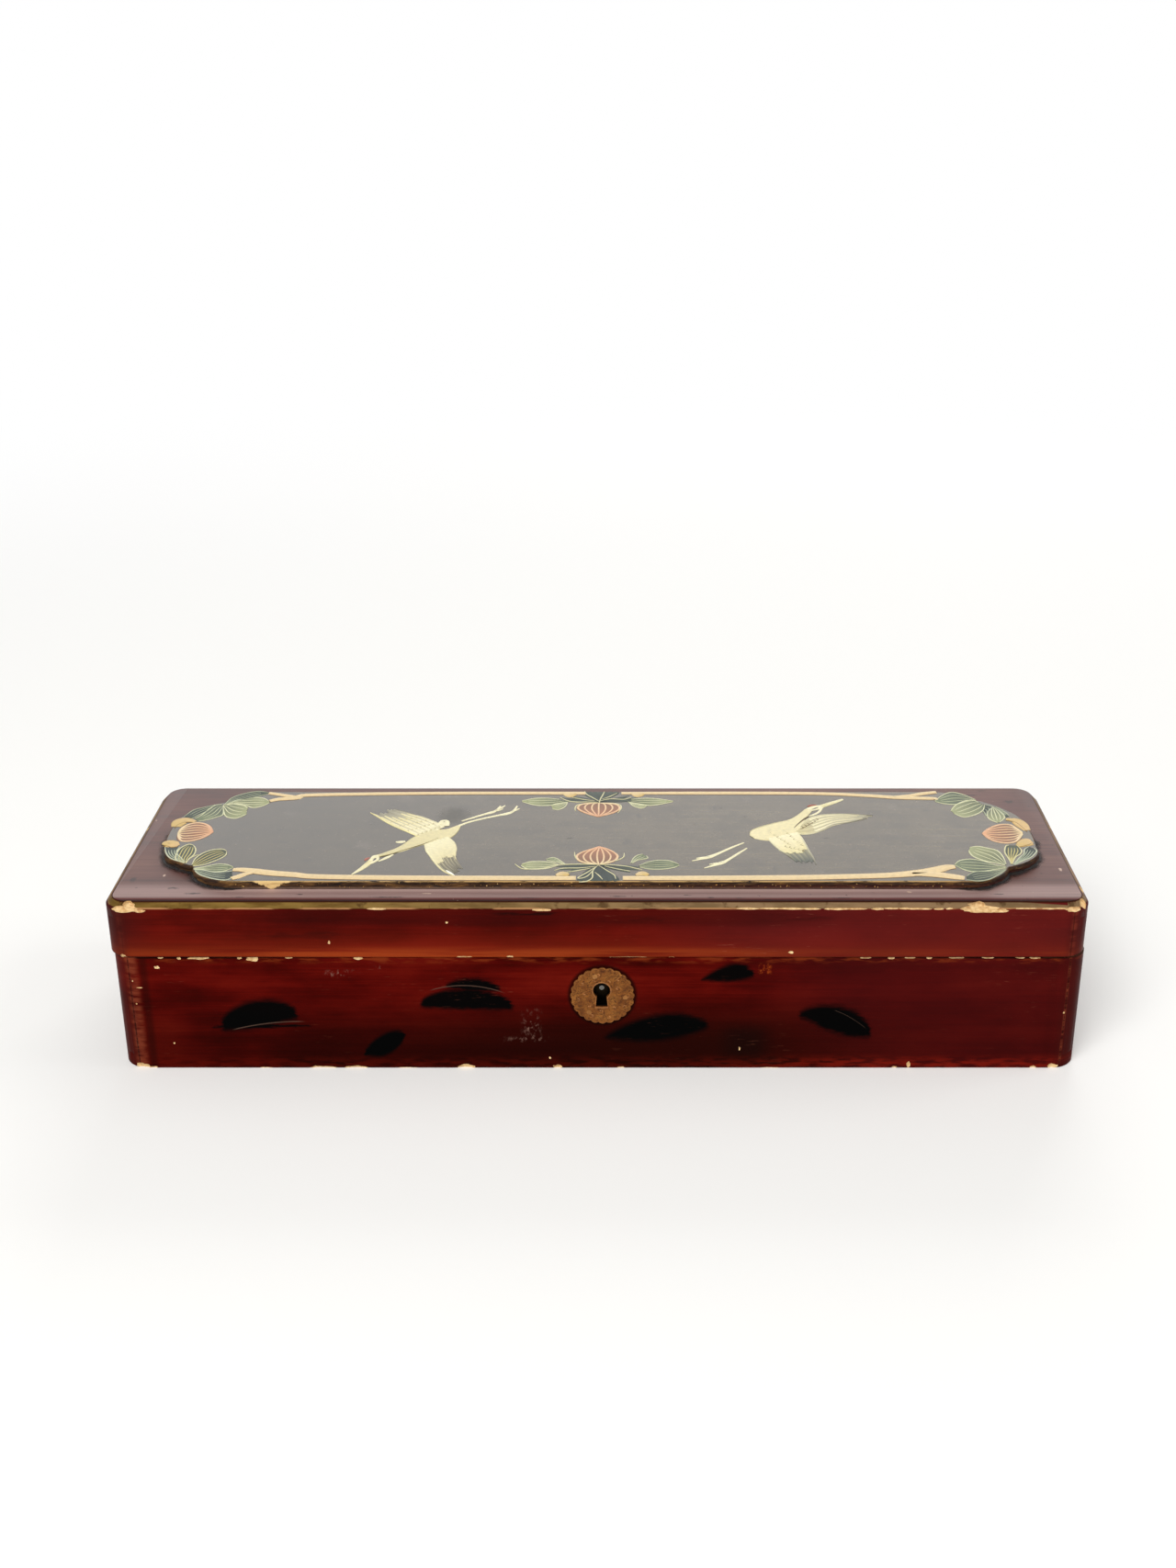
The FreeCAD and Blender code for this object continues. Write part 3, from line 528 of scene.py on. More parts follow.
# Knocks along the base's front: x, how far behind its face, z, and half sizes along x, y and z
FRONT_Y = -43.0
base_knocks = [((at, FRONT_Y + back, height), half) for at, back, height, *half in (
    (-124.0, 0, 38.1, 0.6, 0.6, 0.5), (-118.2, 0, 38.15, 3.2, 0.7, 0.5), (-106.1, 0, 38.2, 0.7, 0.6, 0.45),
    (-102.2, 0, 37.9, 1.8, 0.8, 0.85), (-91.4, 0, 38.3, 1.1, 0.5, 0.35), (-70.8, 0, 38.15, 1.4, 0.6, 0.55),
    (-129.5, 0, 38.3, 0.9, 0.5, 0.35), (-141.2, 0.8, 38.4, 1.0, 0.7, 0.5), (79.2, 0, 38.3, 1.6, 0.5, 0.3),
    (86.8, 0, 38.2, 1.0, 0.6, 0.45), (92.5, 0, 38.3, 1.7, 0.5, 0.3), (98.1, 0, 38.25, 0.9, 0.5, 0.4),
    (106.0, 0, 38.3, 2.4, 0.5, 0.28), (115.4, 0, 38.3, 1.8, 0.5, 0.28), (125.0, 0, 38.3, 1.4, 0.5, 0.3),
    (129.4, 0, 38.25, 1.6, 0.5, 0.35), (-130.8, -0.28, 35.0, 0.9, 0.5, 0.6),
    (-138.5, -0.3, 30.3, 0.4, 0.5, 0.4), (-136.6, -0.3, 28.1, 1.2, 0.45, 0.25),
    (-138.2, -0.3, 22.5, 0.45, 0.45, 0.4), (-139.2, -0.25, 8.1, 0.8, 0.45, 0.3),
    (-128.2, -0.3, 8.9, 0.4, 0.45, 0.45), (-138.6, 0.3, 0.7, 2.3, 0.9, 1.1), (-135.4, 0, 0.2, 1.4, 0.6, 0.6),
    (-83.9, 0, 0.1, 4.0, 0.7, 0.7), (-73.8, 0, 0.1, 3.2, 0.7, 0.8), (-40.2, 0, 0.2, 2.6, 0.8, 1.2),
    (-14.7, -0.2, 3.7, 0.4, 0.45, 0.4), (-12.4, 0, 0.5, 1.4, 0.7, 0.7), (6.8, 0, 0.2, 1.2, 0.6, 0.4),
    (89.9, 0, 0.3, 0.8, 0.6, 0.5), (94.2, -0.1, 1.2, 0.55, 0.6, 1.2), (132.1, 0, 0.3, 1.0, 0.6, 0.6),
    (138.0, 0.1, 0.7, 1.6, 0.7, 0.9), (42.7, -0.3, 6.9, 0.3, 0.45, 0.9), (52.0, 0, 0.1, 3.0, 0.5, 0.3),
    (-58.0, 0, 0.1, 3.0, 0.5, 0.3), (-101.0, 0, 0.1, 2.0, 0.5, 0.3), (139.8, 0, 19.4, 0.3, 0.5, 0.4),
)]
BACK_Y, HINGE_X, HINGE_ROOM = 43.0, 85.0, 14.0
picked = random.Random(17)
for across, spread in ((BACK_Y, 136.0), (-145.38 + BASE_X, 34.0), (145.0 + BASE_X, 34.0)):
    for k in range(7):
        run = picked.uniform(-spread, spread)
        height = picked.choice((0.1, 0.1, SEAM_Z - 0.1))
        size = picked.uniform(0.8, 2.8)
        if across == BACK_Y and height > 10 and abs(abs(run) - HINGE_X) < HINGE_ROOM:
            continue
        if across == BACK_Y:
            base_knocks.append(((run, across, height), (size, 0.7, size * 0.35)))
        else:
            base_knocks.append(((across, run, height), (0.7, size, size * 0.35)))

for node in ("base_front_board", "base_left_wall", "base_right_wall", "base_back_board", "bottom_board"):
    knocked(node, "base", base_red, base_knocks)


# --- Lid boards ---
# The lid is the top of the same box, cut off at the seam: four rails under one wide board. The board's
# upper arris is a wide chamfer painted dull gold, and its flat top is plum-brown lacquer, more polished.
LID_X = -0.18
LID_LENGTH = 290.4
LID_FRONT_Y = -43.2
PLUM_FROM_Z = 55.5
GOLD_FROM, GOLD_TO = 54.42, 55.75

lid_red = Finish("lid_red_lacquer", Roughness=0.3, Specular_IOR_Level=0.02)
place, x, y, z = lid_red.places()
nz = lid_red.facing()[2]
fine, broad, cloud = brushed_red(lid_red, place)
wander = lid_red.streaks(place, (0.10, 0.10, 0.7), 4.0)
lid_red.lay(cloud * 0.3 + 0.06, (112, 24, 12))
lid_red.lay(x.rise(0.0, 60.0) * 0.50, (92, 27, 27))
lid_red.lay(x.rise(-128.0, -142.5) * 0.7, (48, 15, 14))
in_middle = x.rise(-108.0, -88.0) * x.rise(78.0, 40.0)
lid_red.lay(z.rise(47.5, 50.5) * (in_middle * 0.45 + 0.08), (40, 5, 5))
lid_red.lay(z.rise(48.5, 39.5) * (0.42 - x.rise(0.0, 60.0) * 0.20), (128, 36, 16))
seam_glow = z.rise(42.8, 39.6) * lid_red.streaks(place, (0.02, 0.02, 0.5), 3.0).rise(0.32, 0.58)
lid_red.lay(seam_glow * (in_middle * 0.3 + 0.28) * (1 - x.rise(10.0, 60.0) * 0.45), (158, 66, 26))
# A dark line along the seam: partly the joint, partly painted shade where the lid overhangs, stronger towards
# the ends
lid_red.lay(z.rise(38.95, 38.6) * (abs(x).rise(60.0, 120.0) * 0.75 + 0.15), (24, 6, 4))
from_end = (LID_LENGTH / 2 - JOINT_INSET) - abs(x - LID_X)
lid_red.lay(from_end.rise(2.6, -0.6) * 0.45, (52, 16, 14))
joint_glow = abs(from_end + 0.3).rise(1.5, 0.2) * wander.rise(0.34, 0.60)
on_right = x.rise(-10.0, 10.0)
lid_red.lay(joint_glow * (on_right * 0.35 + 0.15), (126, 50, 34))
lid_red.lay(abs(from_end).rise(0.30, 0.08) * (on_right * 0.3 + 0.2), (34, 9, 6))
scratch = lid_red.streaks(place, (0.22, 0.22, 3.2), 2.0).rise(0.66, 0.74) * \
    lid_red.grain(place, 0.06, 2.0).rise(0.48, 0.68)
lid_red.lay(scratch * 0.28, (160, 92, 70))

gold_here = z.rise(GOLD_FROM - 0.12, GOLD_FROM + 0.12) * z.rise(GOLD_TO + 0.1, GOLD_TO - 0.1) * \
    nz.rise(0.92, 0.82)
lid_red.lay(z.rise(GOLD_TO - 0.1, GOLD_TO), (52, 22, 10))
worn = lid_red.streaks(place, (0.09, 0.09, 0.5), 4.0, 0.6)
to_right = x.rise(-110.0, 60.0)
gold = lid_red.mix(worn.rise(0.36, 0.66), lid_red.mix(to_right, (96, 72, 32), (110, 88, 60)),
                   lid_red.mix(to_right, (124, 98, 48), (132, 106, 76)))
gold = lid_red.mix(lid_red.grain(place, 0.20, 3.0, 0.6).rise(0.58, 0.70) * 0.7, gold, (64, 42, 22))
lid_red.lay(gold_here, gold)
edge_line = abs(z - GOLD_FROM).rise(0.26, 0.10) * wander.rise(0.42, 0.56)
lid_red.lay(edge_line * 0.75, (176, 128, 84))
# Smoky streaks under the gold: middle x and z, half sizes, strength
for mid_x, mid_z, half_x, half_z, strength in ((-20.0, 53.0, 13.0, 0.8, 0.8), (58.0, 51.8, 14.0, 1.4, 0.45),
                                               (-88.0, 46.0, 20.0, 2.0, 0.3), (12.0, 51.0, 16.0, 1.6, 0.35)):
    smoky = abs(x - mid_x).rise(half_x, half_x * 0.4) * abs(z - mid_z).rise(half_z, half_z * 0.2)
    lid_red.lay(smoky * wander.rise(0.40, 0.56) * strength, (20, 6, 5))

inside = abs(y).rise(INSIDE_HALF_Y + 0.1, INSIDE_HALF_Y - 0.1) * \
    abs(x - LID_X).rise(INSIDE_HALF_X + 0.1, INSIDE_HALF_X - 0.1) * z.rise(51.6, 51.1)
rim = nz.rise(-0.7, -0.9) * z.rise(SEAM_Z + 0.6, SEAM_Z + 0.2)
inner_coats(lid_red, place, fine, cloud, inside, rim)
lid_red.paint(Base_Color=lid_red.colour, Roughness=fine * 0.20 + cloud * 0.18 + 0.16)
lid_red.bump(fine * 0.6 + broad, 0.03)


def oval(across, up, half_across, half_up):
    """0 in the middle of an oval and 1 on its edge, as the square of the distance."""
    return (across / half_across) ** 2.0 + (up / half_up) ** 2.0

# The flat top has a more polished, plum-brown coat
plum_top = Finish("plum_top_lacquer", Specular_IOR_Level=0.03, Coat_IOR=1.38, Coat_Roughness=0.5)
place, x, y, z = plum_top.places()
brush = plum_top.streaks(place, (0.022, 0.9, 0.9), 5.0, 0.6, 0.4)
patch = plum_top.streaks(place, (0.03, 0.06, 0.06), 4.0)
plum_top.colour = plum_top.ramp(
    brush * 0.5 + patch * 0.5, (0.36, (62, 34, 29)), (0.50, (84, 50, 43)), (0.64, (100, 66, 56)))
# A pale band along the front of the top: partly dust haze, partly painted sheen
dust_and_sheen = y.rise(-39.6, -37.6) * y.rise(-28.0, -33.5)
plum_top.lay(dust_and_sheen * (brush * 0.5 + 0.45), (148, 120, 114))
# Painted sheen: a lighter strip on the top just in front of the panel
sheen_beside_panel = y.rise(-36.4, -33.4) * y.rise(-30.0, -32.8) * abs(x).rise(122.0, 104.0)
plum_top.lay(sheen_beside_panel * (brush * 0.4 + 0.5), (190, 160, 152))
front_strip = (y + brush * 1.6).rise(-37.4, -38.8)
plum_top.lay(front_strip * 0.85, (84, 28, 25))
front_edge = y.rise(-39.6, -40.2)
plum_top.lay(front_edge * 0.95, (34, 10, 6))
pitted = plum_top.grain(place, 0.55, 3.0, 0.6).rise(0.69, 0.74)
plum_top.lay(pitted * 0.8, (22, 10, 9))
dust = plum_top.grain(place, 1.3, 2.0, 0.5).rise(0.73, 0.77) * patch.rise(0.45, 0.6)
plum_top.lay(dust * 0.6, (190, 168, 150))
# Scratches and scuffs: middle x and y, half sizes, and whether they show pale ground
MARKS = [
    (33.4, -38.6, 1.9, 0.5, 0), (49.9, -40.0, 1.6, 0.4, 0), (26.4, -37.1, 1.5, 0.3, 0),
    (41.7, -39.0, 1.7, 0.3, 0), (121.4, 35.2, 5.0, 0.8, 0), (134.4, 30.0, 2.2, 1.6, 0),
    (126.6, 39.0, 2.2, 0.6, 0), (-139.5, -27.0, 1.2, 2.4, 0), (-126.0, -32.5, 2.2, 0.9, 0),
    (-106.0, -38.4, 2.4, 0.4, 0), (-88.0, -36.6, 1.6, 0.4, 0), (118.0, -36.5, 3.0, 0.4, 0),
    (92.3, -35.0, 1.0, 0.6, 1), (-142.6, 15.6, 0.5, 1.0, 1), (-130.8, -24.1, 0.5, 0.9, 1),
    (-50.5, -36.0, 1.6, 0.5, 1), (140.2, -20.0, 0.6, 1.4, 1), (-62.0, -38.4, 6.0, 0.5, 0),
    (-20.0, -38.9, 4.0, 0.4, 0), (6.0, -37.8, 3.0, 0.4, 0), (72.0, -38.9, 4.0, 0.4, 0),
    (-120.0, -36.0, 3.0, 0.6, 0),
]
ragged = plum_top.grain(place, 0.8, 4.0, 0.65)
for mid_x, mid_y, half_x, half_y, pale_ground in MARKS:
    near = oval(x - mid_x, y - mid_y, half_x, half_y) * 0.5 + ragged * 1.4
    plum_top.lay(near.rise(1.15, 0.7) * 0.8, (196, 168, 148) if pale_ground else (26, 12, 12))
plum_top.paint(Base_Color=plum_top.colour, Roughness=brush * 0.2 + patch * 0.3 + 0.2,
               Coat_Weight=1 - (front_strip * 0.8).most(front_edge))
plum_top.bump(brush * 0.5 + patch, 0.02)

lid_knocks = [
    ((-138.8, LID_FRONT_Y + 0.6, 54.2), (4.5, 1.4, 1.0)), ((-137.4, LID_FRONT_Y + 1.7, 55.0), (1.8, 1.4, 1.2)),
    ((-133.9, LID_FRONT_Y + 0.1, 53.9), (1.7, 0.8, 0.5)),
    ((111.8, LID_FRONT_Y + 0.5, 54.3), (5.2, 1.3, 1.1)), ((111.2, LID_FRONT_Y + 1.5, 55.1), (2.6, 1.3, 0.9)),
    ((117.4, LID_FRONT_Y + 0.1, 53.95), (2.6, 0.7, 0.5)),
    ((142.6, LID_FRONT_Y + 3.2, 55.0), (1.2, 2.0, 1.6)), ((139.6, LID_FRONT_Y + 0.6, 54.2), (2.8, 1.0, 0.8)),
    ((-64.4, LID_FRONT_Y + 0.5, 54.4), (3.0, 0.35, 0.3)), ((-16.4, LID_FRONT_Y + 0.3, 54.2), (3.0, 0.5, 0.4)),
    ((-79.1, LID_FRONT_Y - 0.3, 43.5), (0.45, 0.5, 0.7)), ((-44.2, LID_FRONT_Y - 0.3, 50.2), (0.5, 0.5, 0.4)),
    ((57.0, LID_FRONT_Y - 0.28, 40.2), (0.8, 0.6, 0.5)), ((144.4, 38.2, 55.2), (1.2, 1.6, 1.2)),
    ((-140.4, LID_FRONT_Y + 0.4, 38.7), (1.0, 0.7, 0.6)), ((-39.6, LID_FRONT_Y, 38.65), (2.4, 0.5, 0.35)),
    ((-25.9, LID_FRONT_Y, 38.65), (1.0, 0.5, 0.4)),
    ((9.0, LID_FRONT_Y, 38.5), (6.0, 0.5, 0.28)), ((21.8, LID_FRONT_Y, 38.5), (0.9, 0.5, 0.25)),
    ((144.5, -30.5, 54.6), (0.9, 1.8, 1.0)), ((-145.0, 12.0, 54.8), (0.8, 1.2, 0.8)),
]
picked = random.Random(5)
run = 44.0
while run < 142.0:
    size = picked.uniform(1.2, 4.2)
    if not 104.0 < run < 122.0:
        lid_knocks.append(((run, LID_FRONT_Y + 0.55, GOLD_FROM + picked.uniform(-0.1, 0.1)),
                           (size, 0.32, picked.uniform(0.22, 0.36))))
    run += size * picked.uniform(1.3, 2.3)
for k in range(12):
    side = picked.choice((-1, 1))
    size = picked.uniform(0.8, 2.4)
    if k < 6:
        lid_knocks.append(((picked.uniform(-132, 132), 43.2, picked.choice((38.6, 54.0, 55.8))),
                           (size, 0.6, size * 0.3)))
    else:
        lid_knocks.append(((side * 145.2 + LID_X, picked.uniform(-30, 30), picked.choice((38.6, 54.0, 55.8))),
                           (0.6, size, size * 0.3)))

for node, slot in (("lid_top_board", "lacquered_lid_board"), ("lid_front_rail", "lacquered_board"),
                   ("lid_back_rail", "lacquered_board"), ("lid_left_rail", "lacquered_board"),
                   ("lid_right_rail", "lacquered_board")):
    board = knocked(node, "lid", lid_red, lid_knocks, 71)
    if node == "lid_top_board":
        board.data.materials.append(plum_top.material)
        for f in board.data.polygons:
            if f.material_index == 0 and f.normal.z > 0.9 and f.center.z > PLUM_FROM_Z * MM:
                f.material_index = len(board.data.materials) - 1


# --- Raised panel ---
# A thin board with a leafy, scalloped outline at each end, glued on the lid. Its face is black-brown
# lacquer, and its cut edge is rough: dark lacquer over ochre ground, chipped along the front.
PANEL_TOP_Z = 58.4
OUTLINE_STEP = 0.7
# Rings up the panel's edge: height, how far in from the outline, and how rough the ring is
EDGE_RINGS = [
    (55.95, -0.05, 0.10), (56.35, 0.02, 0.32), (56.8, 0.12, 0.50), (57.3, 0.04, 0.55), (57.75, 0.12, 0.42),
    (58.12, 0.14, 0.25), (58.33, 0.30, 0.14), (58.4, 0.52, 0.06)]


def outline_of(node, height):
    """The node's outline at one height, in millimetres, walked round anticlockwise seen from above."""
    bm = bmesh.new()
    bm.from_mesh(nodes[node].data)
    bmesh.ops.remove_doubles(bm, verts=bm.verts, dist=1e-6)
    level = {f for f in bm.faces if all(abs(v.co.z / MM - height) < 1e-3 for v in f.verts)}
    next_to = {}
    for e in bm.edges:
        if sum(f in level for f in e.link_faces) == 1:
            a, b = e.verts
            next_to.setdefault(a.index, []).append(b.index)
            next_to.setdefault(b.index, []).append(a.index)
    spots = {v.index: (v.co.x / MM, v.co.y / MM) for v in bm.verts}
    bm.free()
    walk, before = [min(next_to)], None
    while len(walk) < len(next_to):
        here = walk[-1]
        ahead = [i for i in next_to[here] if i != before]
        before = here
        walk.append(ahead[0])
    line = np.array([spots[i] for i in walk])
    area = np.sum(line[:, 0] * np.roll(line[:, 1], -1) - np.roll(line[:, 0], -1) * line[:, 1])
    return line if area > 0 else line[::-1]


def evenly(line, step):
    """A closed line cut into even steps."""
    closed = np.vstack([line, line[:1]])
    run = np.concatenate([[0], np.cumsum(np.linalg.norm(np.diff(closed, axis=0), axis=1))])
    marks = np.linspace(0, run[-1], int(run[-1] / step), endpoint=False)
    return np.column_stack([np.interp(marks, run, closed[:, k]) for k in (0, 1)])


def inward(line):
    """Unit directions pointing into a closed anticlockwise line."""
    along = np.roll(line, -1, axis=0) - np.roll(line, 1, axis=0)
    along /= np.linalg.norm(along, axis=1)[:, None]
    return np.column_stack([-along[:, 1], along[:, 0]])


panel_line = evenly(outline_of("lid_panel", 56.0), OUTLINE_STEP)
panel_in = inward(panel_line)
count = len(panel_line)
points, faces = [], []
for level, (height, inset, rough) in enumerate(EDGE_RINGS):
    for (px, py), (ix, iy) in zip(panel_line, panel_in):
        crumble = noise.noise(Vector((px * 0.55, py * 0.55, height * 1.3)))
        bite = max(0.0, noise.noise(Vector((px * 0.16, py * 0.16, 9.0))) - 0.22) * 1.6
        into = inset + rough * (crumble * 0.7 + bite * (0.8 if height > 56.5 else 0.2))
        points.append((px + ix * into, py + iy * into, height))
    if level:
        for k in range(count):
            nxt = (k + 1) % count
            lower, upper = (level - 1) * count, level * count
            faces.append((lower + k, lower + nxt, upper + nxt, upper + k))
faces.append(tuple(range((len(EDGE_RINGS) - 1) * count, len(EDGE_RINGS) * count)))
faces.append(tuple(reversed(range(count))))
panel = put("raised_panel", mesh_of("raised_panel", [(points, faces)]))

field = Finish("panel_field", Roughness=0.2, IOR=1.61, Specular_IOR_Level=0.5,
               Specular_Tint=(1.0, 0.93, 0.83, 1.0))
place, x, y, z = field.places()
cloud = field.streaks(place, (0.02, 0.05, 0.05), 4.0, 0.55)
brush = field.streaks(place, (0.03, 0.9, 0.9), 4.0, 0.6)
field.colour = field.ramp(cloud * 0.4 + brush * 0.6, (0.36, (58, 48, 32)), (0.62, (80, 69, 50)))
field.lay(x.rise(40.0, -120.0) * 0.8, (36, 29, 20))
mottled = field.streaks(place, (0.10, 0.16, 0.16), 4.0, 0.6)
field.lay(mottled.rise(0.44, 0.66) * 0.45, (24, 19, 14))
specked = field.grain(place, 0.9, 4.0, 0.7)
field.lay(specked.rise(0.54, 0.72) * 0.5, (20, 16, 12))
field.lay(specked.rise(0.42, 0.30) * 0.3, (122, 108, 86))
scuff = field.streaks(place, (0.16, 0.24, 0.2), 5.0, 0.65).rise(0.665, 0.74)
field.lay(scuff * 0.75, (24, 18, 16))
SCUFFS = [
    (-98.5, -6.0, 3.4, 1.0), (-88.5, -18.5, 2.2, 1.3), (-81.5, 2.0, 0.8, 1.3), (8.8, -5.5, 2.0, 3.0),
    (12.6, 13.8, 1.1, 2.4), (78.0, 1.2, 1.6, 0.6), (53.2, -24.6, 0.8, 3.0), (37.0, 20.0, 0.7, 2.0),
    (105.0, 18.0, 2.4, 0.8), (-13.0, -2.0, 0.8, 0.5), (-56.3, -21.2, 0.9, 0.5),
]
ragged = field.grain(place, 0.7, 4.0, 0.65)
for mid_x, mid_y, half_x, half_y in SCUFFS:
    near = oval(x - mid_x, y - mid_y, half_x, half_y) * 0.5 + ragged * 1.4
    field.lay(near.rise(1.15, 0.75) * 0.7, (18, 13, 12))
shade = (oval(x + 46.5, y - 14.0, 6.5, 8.0) * 0.5 + ragged * 0.7).rise(0.95, 0.3)
field.lay(shade * 0.5, (30, 32, 26))
faded = field.grain(place, 0.09, 4.0, 0.6).rise(0.60, 0.72)
field.lay(faded * 0.25, (104, 92, 84))
field.paint(Base_Color=field.colour, Roughness=brush * 0.06 + scuff * 0.2 + shade * 0.2 + 0.16)
field.bump(brush * 0.5 + scuff * 0.5, 0.02)

cut_edge = Finish("panel_cut_edge", Roughness=0.6, Specular_IOR_Level=0.25)
place, x, y, z = cut_edge.places()
crust = cut_edge.streaks(place, (0.16, 0.16, 0.9), 6.0, 0.7, 0.5)
flake = cut_edge.grain(place, 0.65, 5.0, 0.7)
cut_edge.colour = cut_edge.ramp(
    crust, (0.38, (28, 18, 12)), (0.50, (60, 40, 25)), (0.62, (98, 68, 36)), (0.74, (150, 112, 62)))
upper = z.rise(57.5, 58.2)
cut_edge.lay(flake.rise(0.62, 0.70) * (upper * 0.6 + 0.15), (206, 164, 98))
along_front = abs(x).rise(114.0, 102.0)
arris = z.rise(58.05, 58.3) * crust.rise(0.36, 0.50) * along_front
cut_edge.lay(arris * 0.8, (196, 160, 104))
cut_edge.lay(z.rise(56.9, 56.1) * 0.8, cut_edge.mix(along_front, (10, 7, 6), (112, 88, 74)))
to_right = x.rise(0.0, 60.0) * z.rise(57.6, 57.0) * 0.6
cut_edge.lay(to_right, (58, 16, 14))
bare = ((z - 56.3) * 2.6 + (flake - 0.5) * 9.0 + 0.8 - abs(x + 97.0)).rise(0.0, 0.8) * y.rise(-30.0, -31.0)
cut_edge.lay(bare, (222, 188, 128))
cut_edge.paint(Base_Color=cut_edge.colour, Roughness=flake * 0.4 + 0.4)
cut_edge.bump(crust + flake, 0.12)
panel.data.materials.append(field.material)
panel.data.materials.append(cut_edge.material)
for f in panel.data.polygons:
    f.material_index = 0 if f.normal.z > 0.8 and f.center.z > (PANEL_TOP_Z - 0.01) * MM else 1
creased(panel, 40)
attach(panel, "lid")
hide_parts("lid_panel")


# --- Grime and crumbs round the panel ---
# Old lacquer and dirt lie in the corner between panel and lid, thickest at the leafy ends, and crumbs of
# ochre ground stick along the panel's front edge. Both follow the panel's outline.
def marked(mesh, name, values, kind="FLOAT"):
    """Stores one value for each point under a name that finishes and jigs can read."""
    layer = mesh.attributes.new(name, kind, "POINT")
    layer.data.foreach_set("color" if kind == "FLOAT_COLOR" else "value", values)

def outward(piece):
    """Turns every face of a closed piece outwards."""
    bm = bmesh.new()
    bm.from_mesh(piece.data)
    bmesh.ops.recalc_face_normals(bm, faces=bm.faces)
    bm.to_mesh(piece.data)
    bm.free()

GRIME_TOP = 56.55
STAIN_TOP = 56.02
grime_sections = []
for k, ((px, py), (ix, iy)) in enumerate(zip(panel_line, panel_in)):
    low_end = max(0.0, min(1.0, (abs(px) - 104.0) / 10.0)) * (1.0 if py < 4 else 0.45)
    blob = 0.5 + 0.5 * noise.noise(Vector((px * 0.22, py * 0.22, 3.0)))
    fray = 0.5 + 0.5 * noise.noise(Vector((px * 1.1, py * 1.1, 5.0)))
    reach = 0.08 + 0.1 * fray + low_end * (1.0 * blob * blob + 0.4 * fray)
    stain = 0.15 + low_end * (1.6 + 2.4 * blob)
    grime_sections.append((px, py, ix, iy, reach, stain, 0.2 + 0.8 * low_end))
points, faces, covers = [], [], []
# Rows across the bead: how far in or out, how high, how well it covers, and whether it reaches on to the
# stain's end
rows = [
    (0.9, GRIME_TOP - 0.55, 1.0, 0), (0.12, GRIME_TOP, 1.0, 0), (-0.30, 56.34, 1.0, 0), (-0.72, 56.14, 1.0, 0),
    (-1.0, 56.04, 0.85, 0), (-1.0, STAIN_TOP, 0.0, 1), (-1.0, 55.96, 0.0, 1), (0.9, 55.96, 1.0, 0)]
for share, height, cover, to_end in rows:
    for px, py, ix, iy, reach, stain, full in grime_sections:
        into = share * (reach if share < 0 else 1.0) - to_end * stain
        raised = height if height < STAIN_TOP else STAIN_TOP + (height - STAIN_TOP) * full
        points.append((px + ix * into, py + iy * into, raised))
        covers.append(cover)
for row in range(len(rows)):
    below, above = row * count, ((row + 1) % len(rows)) * count
    for k in range(count):
        nxt = (k + 1) % count
        faces.append((below + k, above + k, above + nxt, below + nxt))
grime = put("panel_grime", mesh_of("panel_grime", [(points, faces)]))
marked(grime.data, "cover", covers)
outward(grime)
grime.data.shade_smooth()
soil = Finish("old_dark_lacquer", Roughness=0.4, Specular_IOR_Level=0.35)
place = soil.places()[0]
lumps = soil.grain(place, 0.5, 5.0, 0.65)
cover = soil.node("ShaderNodeAttribute", {"attribute_name": "cover"}, out="Fac")
thin = soil.grain(place, 0.35, 5.0, 0.65)
soil.paint(Base_Color=soil.ramp(lumps, (0.40, (9, 7, 6)), (0.60, (26, 17, 12)), (0.74, (74, 50, 28))),
           Roughness=lumps * 0.3 + 0.45, Alpha=(cover * 1.3 + thin * 0.9 - 0.9).rise(0.0, 1.0))
soil.bump(lumps, 0.15)
grime.data.materials.append(soil.material)
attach(grime, "lid")


class Jig(Bench):
    """A Geometry Nodes tree on the bench, with named inputs and one shape coming out."""

    def __init__(self, name, **inputs):
        super().__init__(bpy.data.node_groups.new(name, "GeometryNodeTree"))
        shape = self.tree.interface
        shape.new_socket("Geometry", in_out="INPUT", socket_type="NodeSocketGeometry")
        shape.new_socket("Geometry", in_out="OUTPUT", socket_type="NodeSocketGeometry")
        self.sockets = {}
        for label, start in inputs.items():
            kind = "NodeSocketInt" if isinstance(start, int) else "NodeSocketFloat"
            made = shape.new_socket(label, in_out="INPUT", socket_type=kind)
            made.default_value = start
            self.sockets[label] = made.identifier
        self.entry = self.tree.nodes.new("NodeGroupInput")
        self.exit = self.tree.nodes.new("NodeGroupOutput")

    def given(self, label="Geometry"):
        return Reading(self, self.entry.outputs[label])

    def named(self, name, kind="FLOAT"):
        return self.node("GeometryNodeInputNamedAttribute", {"data_type": kind}, {"Name": name})

    def done(self, geometry, finish):
        """Ends the tree: instances made real, and the finish put on."""
        real = self.node("GeometryNodeRealizeInstances", sockets={0: geometry})
        coated = self.node("GeometryNodeSetMaterial", sockets={0: real, "Material": finish.material})
        self.link(coated, self.exit.inputs[0])

    def worked(self, name, mesh, **values):
        """An object of the mesh with the jig run over it, as a plain mesh of its own."""
        piece = put(name, mesh)
        run = piece.modifiers.new("jig", "NODES")
        run.node_group = self.tree
        for label, value in values.items():
            run[self.sockets[label]] = value
        return settled(piece)


crumb_jig = Jig("crumbs_along_edge", Crumbs=300, Seed=3, Smallest=0.10 * MM, Largest=0.34 * MM, Stray=0.22 * MM)
way = crumb_jig.node("GeometryNodeMeshToCurve", sockets={0: crumb_jig.given()})
spread = crumb_jig.node("GeometryNodeResampleCurve", sockets={"Curve": way, "Count": crumb_jig.given("Crumbs")})


def chance(jig, kind, low, high, offset):
    return jig.node("FunctionNodeRandomValue", {"data_type": kind}, {
        ("Min" if kind == "FLOAT_VECTOR" else 2): low, ("Max" if kind == "FLOAT_VECTOR" else 3): high,
        "Seed": jig.given("Seed") + offset}, out=0 if kind == "FLOAT_VECTOR" else 1)


